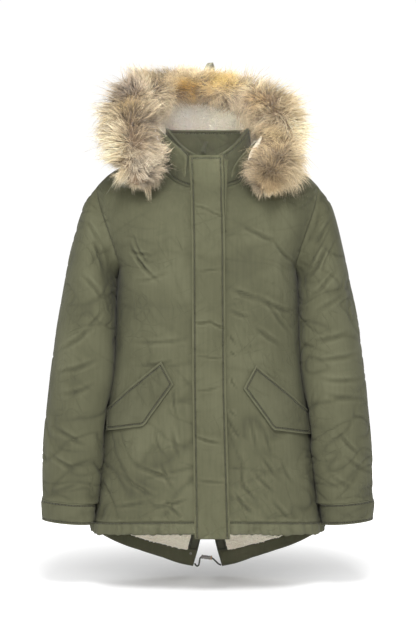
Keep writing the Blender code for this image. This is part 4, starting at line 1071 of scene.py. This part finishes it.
for side_name, side in SIDES:
    node = f"hood_{side_name}"
    shape = press_folds(cloth_copy(node, levels=1), hood_sink, seam_fade_mm=9.0)
    lie_down(shape)
    hood_tree = BVHTree.FromBMesh(shape)
    finish_cloth(shape, node, shell_twill)
    node = f"hood_lining_{side_name}"
    shape = press_folds(cloth_copy(node, levels=1, shown=(1,)), pile_sink, seam_fade_mm=4.0)
    lie_down(shape)
    curls_on(f"hood_lining_curls_{side_name}", shape, 31 + side)
    finish_cloth(shape, node, cream_pile)

edge_shape = bmesh.new()
edge_rows = []
for share in np.linspace(0, 1, EDGE_ROWS):
    middle_x, middle_z = (a + (b - a) * share for a, b in zip(EDGE_FROM, EDGE_TO))
    narrowing = math.sin(math.pi * (0.15 + 0.7 * share))
    row = []
    for across in np.linspace(-0.5, 0.5, EDGE_COLUMNS):
        x = middle_x + across * EDGE_WIDTH * narrowing
        z = middle_z + 0.3 * across * EDGE_WIDTH
        front = hood_tree.ray_cast(Vector((x, -0.3, z)), Vector((0, 1, 0)))[0]
        row.append(edge_shape.verts.new((x, (front.y if front else -0.06) - EDGE_LIFT, z)))
    edge_rows.append(row)
for above, below in zip(edge_rows, edge_rows[1:]):
    for a, b, c, d in zip(above, above[1:], below[1:], below):
        edge_shape.faces.new((a, d, c, b))
edge_mesh = mesh_from(edge_shape, "hood_lining_edge")
pile_curls("hood_lining_edge_curls", edge_mesh, 41, spacing=EDGE_CURL_SPACING)
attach(mesh_object("hood_lining_edge", edge_mesh, cream_pile), "root")


# ---- Fur trim: long-haired fur fabric round the face edge. Its dark undercoat is a soft roll, and guard
# ---- hairs about 45 mm long stand out of it in tufts, combed from the middle of the roll to both sides.

# The roll's centre line in mm, from the wearer's right front over the arch to the left front.
FUR_LINE = (
    (-124, -116, -33), (-123, -110, -8), (-127, -92, 25), (-138, -62, 66), (-147, -28, 103),
    (-127, 2, 134), (-89, 22, 152), (-33, 36, 162), (27, 34, 152), (77, 18, 137),
    (118, -8, 106), (137, -42, 68), (124, -78, 22), (110, -104, -14), (102, -114, -38),
)  # fmt: skip
STATIONS, BEARINGS = 140, 48
TUFTS, HAIRS_PER_TUFT = 1650, 34
STRAY_SHARE = 0.13
# The hair grows between these shares of the roll, and past each of them by the cap's share.
ROLL_FROM, ROLL_TO, CAP = 0.046, 0.976, 0.020
# Shares of the CAD roll's reach: the undercoat's surface, the hair's root and the knee of its curve.
CORE_SHARE, HAIR_ROOT, HAIR_KNEE = 0.58, 0.42, 0.86
HAIR_WIDTH = 0.00085
SWAY, KNEE_SAG, TIP_SAG = 0.032, 0.002, 0.006
FUR_FRONT = -0.1585  # no hair stands further forward
FUR_PIECES = 6
# Where hair is cut shorter, beside the collar and on the outer side of both ends, or left longer, all
# along the outer side: place along the roll, bearing, spread of both, share that is cut.
FUR_CUTS = (
    (0.84, -1.5, 0.050, 1.0, 0.55),
    (0.00, 1.6, 0.060, 1.0, 0.35),
    (1.00, 1.6, 0.060, 1.0, 0.30),
    (0.50, 1.5, 0.420, 1.0, -0.30),
)
# Where the fabric's print changes: place along the roll, bearing, spread of both, then the hair's
# colours at root, middle and tip.
FUR_TONES = (
    (0.50, -0.2, 0.055, 1.0, "#2e1d10", "#86622a", "#c9a258"),
    (0.57, 0.9, 0.050, 0.9, "#5a452c", "#b0904f", "#d8bd80"),
    (0.33, 0.9, 0.055, 0.9, "#4c4038", "#8d7d6c", "#bfae96"),
    (0.42, 0.6, 0.040, 0.8, "#4a3d30", "#917d62", "#c9b48c"),
    (0.64, -0.5, 0.050, 0.7, "#40342a", "#80705f", "#b5a48a"),
    (0.70, 0.1, 0.045, 0.9, "#4a3828", "#8a7250", "#c4a878"),
    (0.12, -0.6, 0.070, 1.0, "#46382a", "#9c8970", "#d6c8ac"),
    (0.04, 0.0, 0.060, 1.4, "#5a4b3c", "#ab9a82", "#dccfb8"),
    (0.20, -0.3, 0.060, 0.8, "#382c22", "#75634c", "#b09a76"),
    (0.27, -0.2, 0.040, 0.8, "#463626", "#84704e", "#c8ab74"),
    (0.92, 0.0, 0.065, 1.1, "#2e2218", "#7a664c", "#b8a27e"),
    (0.97, 0.3, 0.050, 1.4, "#3e3022", "#806a4a", "#c0a880"),
    (0.83, -1.2, 0.060, 0.8, "#34281c", "#76644a", "#b09a78"),
    (0.84, -0.4, 0.050, 0.8, "#46382a", "#8f7a58", "#cdb68c"),
)
OUTER_TONES = ("#86704e", "#e0ca9f", "#f8ebd0")
INNER_TONES = ("#3a2e20", "#8a7860", "#c6b79b")

# Dense acrylic undercoat: matt and dark brown, woolly from close by.
undercoat = two_tone(
    "dense_acrylic_undercoat",
    "Noise",
    {"Scale": 160.0, "Detail": 4.0},
    "#3a2f24",
    "#8a745a",
    (1.0, 0.004),
    Roughness=0.95,
)
# Modacrylic guard hair: fine, slightly glossy, dark at the root, partly as painted shade, and pale
# towards the tip.
guard_hair, hair_nodes, hair_shader = new_material(
    "modacrylic_guard_hair", Roughness=0.55, Specular_IOR_Level=0.3, Sheen_Weight=0.2
)
hair_colour = add_node(hair_nodes, "Attribute", {"attribute_name": "hair"})
hair_nodes.links.new(hair_colour.outputs["Color"], hair_shader.inputs["Base Color"])


def unit(vectors):
    return vectors / np.linalg.norm(vectors, axis=-1, keepdims=True)


def smooth_line(points, count):
    """Evenly many points on a smooth curve through the given ones, as an array, with its tangents."""
    p = np.array(points, float)
    p = np.vstack([2 * p[0] - p[1], p, 2 * p[-1] - p[-2]])
    at = np.linspace(0, len(points) - 1 - 1e-6, count)
    i = at.astype(int) + 1
    u = (at - at.astype(int))[:, None]
    a, b, c, d = p[i - 1], p[i], p[i + 1], p[i + 2]
    line = b + 0.5 * u * (c - a + u * (2 * a - 5 * b + 4 * c - d + u * (3 * (b - c) + d - a)))
    return line, unit(np.gradient(line, axis=0))


fur_line, fur_along = smooth_line(np.array(FUR_LINE) * MM, STATIONS)
fur_across = unit(np.cross(fur_along, [0.0, 1.0, 0.0]))
fur_back = np.cross(fur_across, fur_along)
roll_length = np.linalg.norm(np.diff(fur_line, axis=0), axis=1).sum()

fur_shape = bmesh.new()
fur_shape.from_mesh(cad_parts["fur_trim"].data)
bmesh.ops.remove_doubles(fur_shape, verts=fur_shape.verts, dist=MERGE)
fur_tree = BVHTree.FromBMesh(fur_shape)


def fur_bearing(station, bearing):
    """Direction from the roll's centre at a bearing: 0 is the front, a quarter turn the outer side."""
    return fur_across[station] * np.sin(bearing)[:, None] - fur_back[station] * np.cos(bearing)[:, None]


def half_turn(angle):
    """The same angle between minus and plus half a turn."""
    return (angle + math.pi) % math.tau - math.pi


def tones(codes):
    return np.array([srgb(code)[:3] for code in codes])


def patch_weight(along, around, spread_along, spread_around):
    """From 1 in the middle of a patch of the roll to 0 away from it, along the roll or round it."""
    return np.exp(-((along / spread_along) ** 2) - (around / spread_around) ** 2)


# How far the CAD roll reaches from its centre line at each station and bearing.
reach = np.zeros((STATIONS, BEARINGS))
bearings = np.linspace(0, math.tau, BEARINGS, endpoint=False)
for i in range(STATIONS):
    for j, direction in enumerate(fur_bearing(np.full(BEARINGS, i), bearings)):
        hit, _, _, gap = fur_tree.ray_cast(Vector(fur_line[i]), Vector(direction))
        reach[i, j] = gap if hit else 0.03


def station_of(places):
    return np.clip(places * (STATIONS - 1), 0, STATIONS - 1)


def around_roll(places, bearings, share):
    """Points at a share of the roll's reach from its centre line."""
    station = station_of(places)
    low = np.minimum(station.astype(int), STATIONS - 2)
    part = (station - low)[:, None]
    centre = fur_line[low] * (1 - part) + fur_line[low + 1] * part
    centre = centre + fur_along[low] * (places - np.clip(places, 0, 1))[:, None] * roll_length
    sector = (bearings % math.tau / math.tau * BEARINGS).astype(int) % BEARINGS
    far = reach[station.astype(int), sector][:, None]
    return centre + fur_bearing(low, bearings) * far * share[:, None]


for vert in fur_shape.verts:
    station = np.argmin(((fur_line - np.array(vert.co)) ** 2).sum(axis=1)) / (STATIONS - 1)
    centre = Vector(fur_line[round(float(np.clip(station, ROLL_FROM, ROLL_TO)) * (STATIONS - 1))])
    vert.co = centre + (vert.co - centre) * CORE_SHARE
fur_mesh = mesh_from(fur_shape, "fur_undercoat")
fur_mesh.shade_smooth()
fur_core = mesh_object("fur_undercoat", fur_mesh, undercoat)
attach(fur_core, "root")
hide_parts("fur_trim")

rng = np.random.default_rng(5)
tuft_at = rng.uniform(ROLL_FROM - CAP, ROLL_TO + CAP, TUFTS)
tuft_bearing = rng.uniform(-math.pi, math.pi, TUFTS)
# Neighbouring tufts flow together in locks, which turn and shade slowly along and round the roll.
lock_turn = np.sin(33 * tuft_at + 1.9 * tuft_bearing + 0.7)
lock_turn = lock_turn + 0.8 * np.sin(71 * tuft_at - 2.3 * tuft_bearing + 2.1)
lock_lift = np.sin(27 * tuft_at + 1.1 * tuft_bearing + 4.0) + 0.7 * np.sin(58 * tuft_at - 1.7 * tuft_bearing)
tuft_sway = 0.40 * lock_turn + rng.normal(0, 0.22, TUFTS)
tuft_comb = 0.75 + 0.22 * lock_lift + rng.normal(0, 0.16, TUFTS)
tuft_length = rng.uniform(0.80, 1.12, TUFTS) + 0.06 * lock_turn
tuft_shade = np.exp(0.14 * lock_lift + rng.normal(0, 0.16, TUFTS))
tuft_ash = np.clip(rng.normal(0.0, 0.35, TUFTS), -1, 1)

count = TUFTS * HAIRS_PER_TUFT
tuft = np.repeat(np.arange(TUFTS), HAIRS_PER_TUFT)
at = np.clip(tuft_at[tuft] + rng.normal(0, 0.0115, count), ROLL_FROM - CAP, ROLL_TO + CAP)
root_bearing = tuft_bearing[tuft] + rng.normal(0, 0.20, count)
# The hair parts along a line that wanders about the front of the roll.
from_parting = half_turn(root_bearing - (0.45 * np.sin(9.0 * at + 0.6) + 0.25 * np.sin(23.0 * at)))
comb = tuft_comb[tuft] * np.tanh(from_parting / 0.5) * (1 - np.abs(from_parting) / math.pi)
# How far past each end of the roll a hair grows, from -1 to 1 of the cap.
past = (np.minimum(at - ROLL_FROM, 0) + np.maximum(at - ROLL_TO, 0)) / CAP
# Most hairs of a tuft draw together at the tip; the strays stand out alone and longer.
stray = rng.random(count) < STRAY_SHARE
draw = np.where(stray, 0.1, rng.uniform(0.50, 0.95, count)) * (1 - 0.75 * np.abs(past))
tip_bearing = root_bearing + comb + draw * (tuft_bearing[tuft] - root_bearing)
tip_at = at + draw * (tuft_at[tuft] - at)
length = np.where(stray, rng.uniform(1.00, 1.32, count), rng.uniform(0.82, 1.09, count))
length = tuft_length[tuft] * length
for cut_at, cut_bearing, spread_at, spread_bearing, cut in FUR_CUTS:
    around = half_turn(root_bearing - cut_bearing)
    length *= 1 - cut * patch_weight(at - cut_at, around, spread_at, spread_bearing)

# Each end of the roll is closed by a round cap of hair, which fans out along it.
along_here = fur_along[station_of(at).astype(int)]
close = np.sqrt(1 - np.clip(np.abs(past), 0, 0.98) ** 2)
fan = along_here * (past * rng.uniform(0.002, 0.015, count))[:, None]
root = around_roll(at, root_bearing, HAIR_ROOT * close)
knee = around_roll(at, root_bearing + 0.35 * comb, HAIR_KNEE * length * close) + 0.4 * fan
tip = around_roll(tip_at, tip_bearing, length * np.sqrt(close)) + fan + rng.normal(0, 0.0026, (count, 3))
tip += along_here * (tuft_sway[tuft] * SWAY * (1 - np.abs(past)))[:, None]
tip[:, 2] -= TIP_SAG
knee[:, 2] -= KNEE_SAG
tip[:, 1] = np.maximum(tip[:, 1], FUR_FRONT)
outward = unit(tip - fur_line[station_of(tip_at).astype(int)])

# Each hair is a flat ribbon along a curve of four points, which narrows to its tip.
steps = np.array([0.0, 0.4, 0.75, 1.0])
taper = np.array([1.0, 0.9, 0.55])
curve_points = (
    (1 - steps)[None, :, None] ** 2 * root[:, None]
    + (2 * steps * (1 - steps))[None, :, None] * knee[:, None]
    + steps[None, :, None] ** 2 * tip[:, None]
)
flow = np.gradient(curve_points, axis=1)
across = np.cross(flow, outward[:, None])
across /= np.linalg.norm(across, axis=2, keepdims=True) + 1e-9
half = 0.5 * HAIR_WIDTH * taper[None, :, None] * rng.uniform(0.7, 1.3, (count, 1, 1))
left_rail = curve_points[:, :3] - across[:, :3] * half
right_rail = curve_points[:, :3] + across[:, :3] * half
hair_points = np.concatenate([left_rail, right_rail, curve_points[:, 3:]], axis=1)
HAIR_QUADS, HAIR_END = np.array([[0, 3, 4, 1], [1, 4, 5, 2]]), np.array([[2, 5, 6]])

# Colour of each hair at its root, knee, two thirds and tip. The root's tone is halved: partly the fur's
# own dark root, partly painted shade deep among the tufts.
wrapped = half_turn(tip_bearing)
blend = (1 / (1 + np.exp(-wrapped / 0.45)))[:, None, None]
palette = tones(OUTER_TONES)[None] * blend + tones(INNER_TONES)[None] * (1 - blend)
for tone_at, tone_bearing, spread_at, spread_bearing, *codes in FUR_TONES:
    weight = patch_weight(at - tone_at, wrapped - tone_bearing, spread_at, spread_bearing)
    weight = np.clip(weight * (1.15 + 0.5 * tuft_ash[tuft]), 0, 1)[:, None, None]
    palette = palette * (1 - weight) + tones(codes)[None] * weight
# A few hairs are dark all along, and four times as many are pale.
single = rng.choice([0.5, 1.0, 1.3], count, p=[0.05, 0.75, 0.20])
brightness = tuft_shade[tuft] * single * (1 - 0.25 * np.abs(past)) * rng.normal(1.0, 0.08, count)
palette = palette * brightness[:, None, None]
low, middle, pale = palette[:, 0], palette[:, 1], palette[:, 2]
hair_tones = np.stack([low * 0.5, 0.5 * low + 0.5 * middle, 0.65 * middle + 0.35 * pale, pale], axis=1)
hair_tones = np.clip(hair_tones, 0.004, 0.9)
point_tones = np.concatenate([hair_tones[:, :3], hair_tones[:, :3], hair_tones[:, 3:]], axis=1)

for k in range(FUR_PIECES):
    chosen = np.where((at * FUR_PIECES).astype(int).clip(0, FUR_PIECES - 1) == k)[0]
    points = hair_points[chosen].reshape(-1, 3)
    starts = (np.arange(len(chosen)) * hair_points.shape[1])[:, None, None]
    quads = (HAIR_QUADS[None] + starts).reshape(-1, 4).tolist()
    ends = (HAIR_END[None] + starts).reshape(-1, 3).tolist()
    mesh = bpy.data.meshes.new(f"fur_hair_{k}")
    mesh.from_pydata(points, [], quads + ends, shade_flat=False)
    rgba = np.ones((len(points), 4))
    rgba[:, :3] = point_tones[chosen].reshape(-1, 3)
    mesh.attributes.new("hair", "FLOAT_COLOR", "POINT").data.foreach_set("color", rgba.ravel())
    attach(mesh_object(f"fur_hair_{k}", mesh, guard_hair), "root")


# ---- Loops: a tape of pale twill is folded to a point on the crown, and a narrow dark one hangs inside
# ---- the collar, where it has flopped over to one side. Their ends are caught in the seams.

# Middle line of each tape: x and z in mm.
CROWN_LINE = (
    (-6.5, 176), (-5.5, 190), (-2.0, 200), (3.5, 208), (6.0, 211), (8.0, 208), (11.0, 200), (12.0, 176),
)  # fmt: skip
HANGER_LINE = (
    (-1, 58), (-5, 51), (-11, 44), (-13, 38), (-10, 34.5), (-7, 38), (-5, 45), (-2, 52), (2, 57),
)  # fmt: skip
TAPE_POINTS = 40

# Cotton tape: closely woven, matt, paler than the shell, ribbed across.
tape = two_tone(
    "pale_cotton_tape",
    "Wave",
    {"Scale": 320.0, "Distortion": 1.0},
    "#6b6857",
    "#a5a290",
    (0.4, 0.0003),
    {"bands_direction": "Z"},
    Roughness=0.85,
    Sheen_Weight=0.15,
)


def folded_tape(node, line, y_mm, width_mm, thick_mm, turn, material):
    """A tape that follows a line in a plane turned by degrees about the vertical, for a CAD loop."""
    spine, _ = smooth_line([(x, 0.0, z) for x, z in line], TAPE_POINTS)
    middle_x = 0.5 * (min(x for x, _ in line) + max(x for x, _ in line))
    cos, sin = math.cos(math.radians(turn)), math.sin(math.radians(turn))
    shape = bmesh.new()
    rails = []
    for x, _, z in spine:
        away = x - middle_x
        pair = []
        for lift in (-0.5 * width_mm, 0.5 * width_mm):
            place = Vector((middle_x + away * cos - lift * sin, y_mm + away * sin + lift * cos, z))
            pair.append(shape.verts.new(place * MM))
        rails.append(pair)
    for (a, b), (c, d) in zip(rails, rails[1:]):
        shape.faces.new((a, b, d, c))
    bmesh.ops.recalc_face_normals(shape, faces=shape.faces)
    bmesh.ops.solidify(shape, geom=shape.faces, thickness=thick_mm * MM)
    for face in shape.faces:
        face.smooth = True
    mesh = mesh_from(shape, "tape_" + node)
    mesh.set_sharp_from_angle(angle=math.radians(40))
    piece = mesh_object("tape_" + node, mesh, material)
    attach(piece, "root")
    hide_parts(node)


folded_tape("crown_tab", CROWN_LINE, 84, 14.0, 1.6, 50, tape)
folded_tape("hanger_loop", HANGER_LINE, 49.5, 7.0, 1.2, 62, facing_twill)


# ---- Eyelet: a pressed ring of brushed zinc in the back band, set where the drawcord's channel is
# ---- vented. The CAD ring has its full form, so it only gets its metal here.

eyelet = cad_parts["eyelet"]
eyelet.data.materials.clear()
eyelet.data.materials.append(zinc)
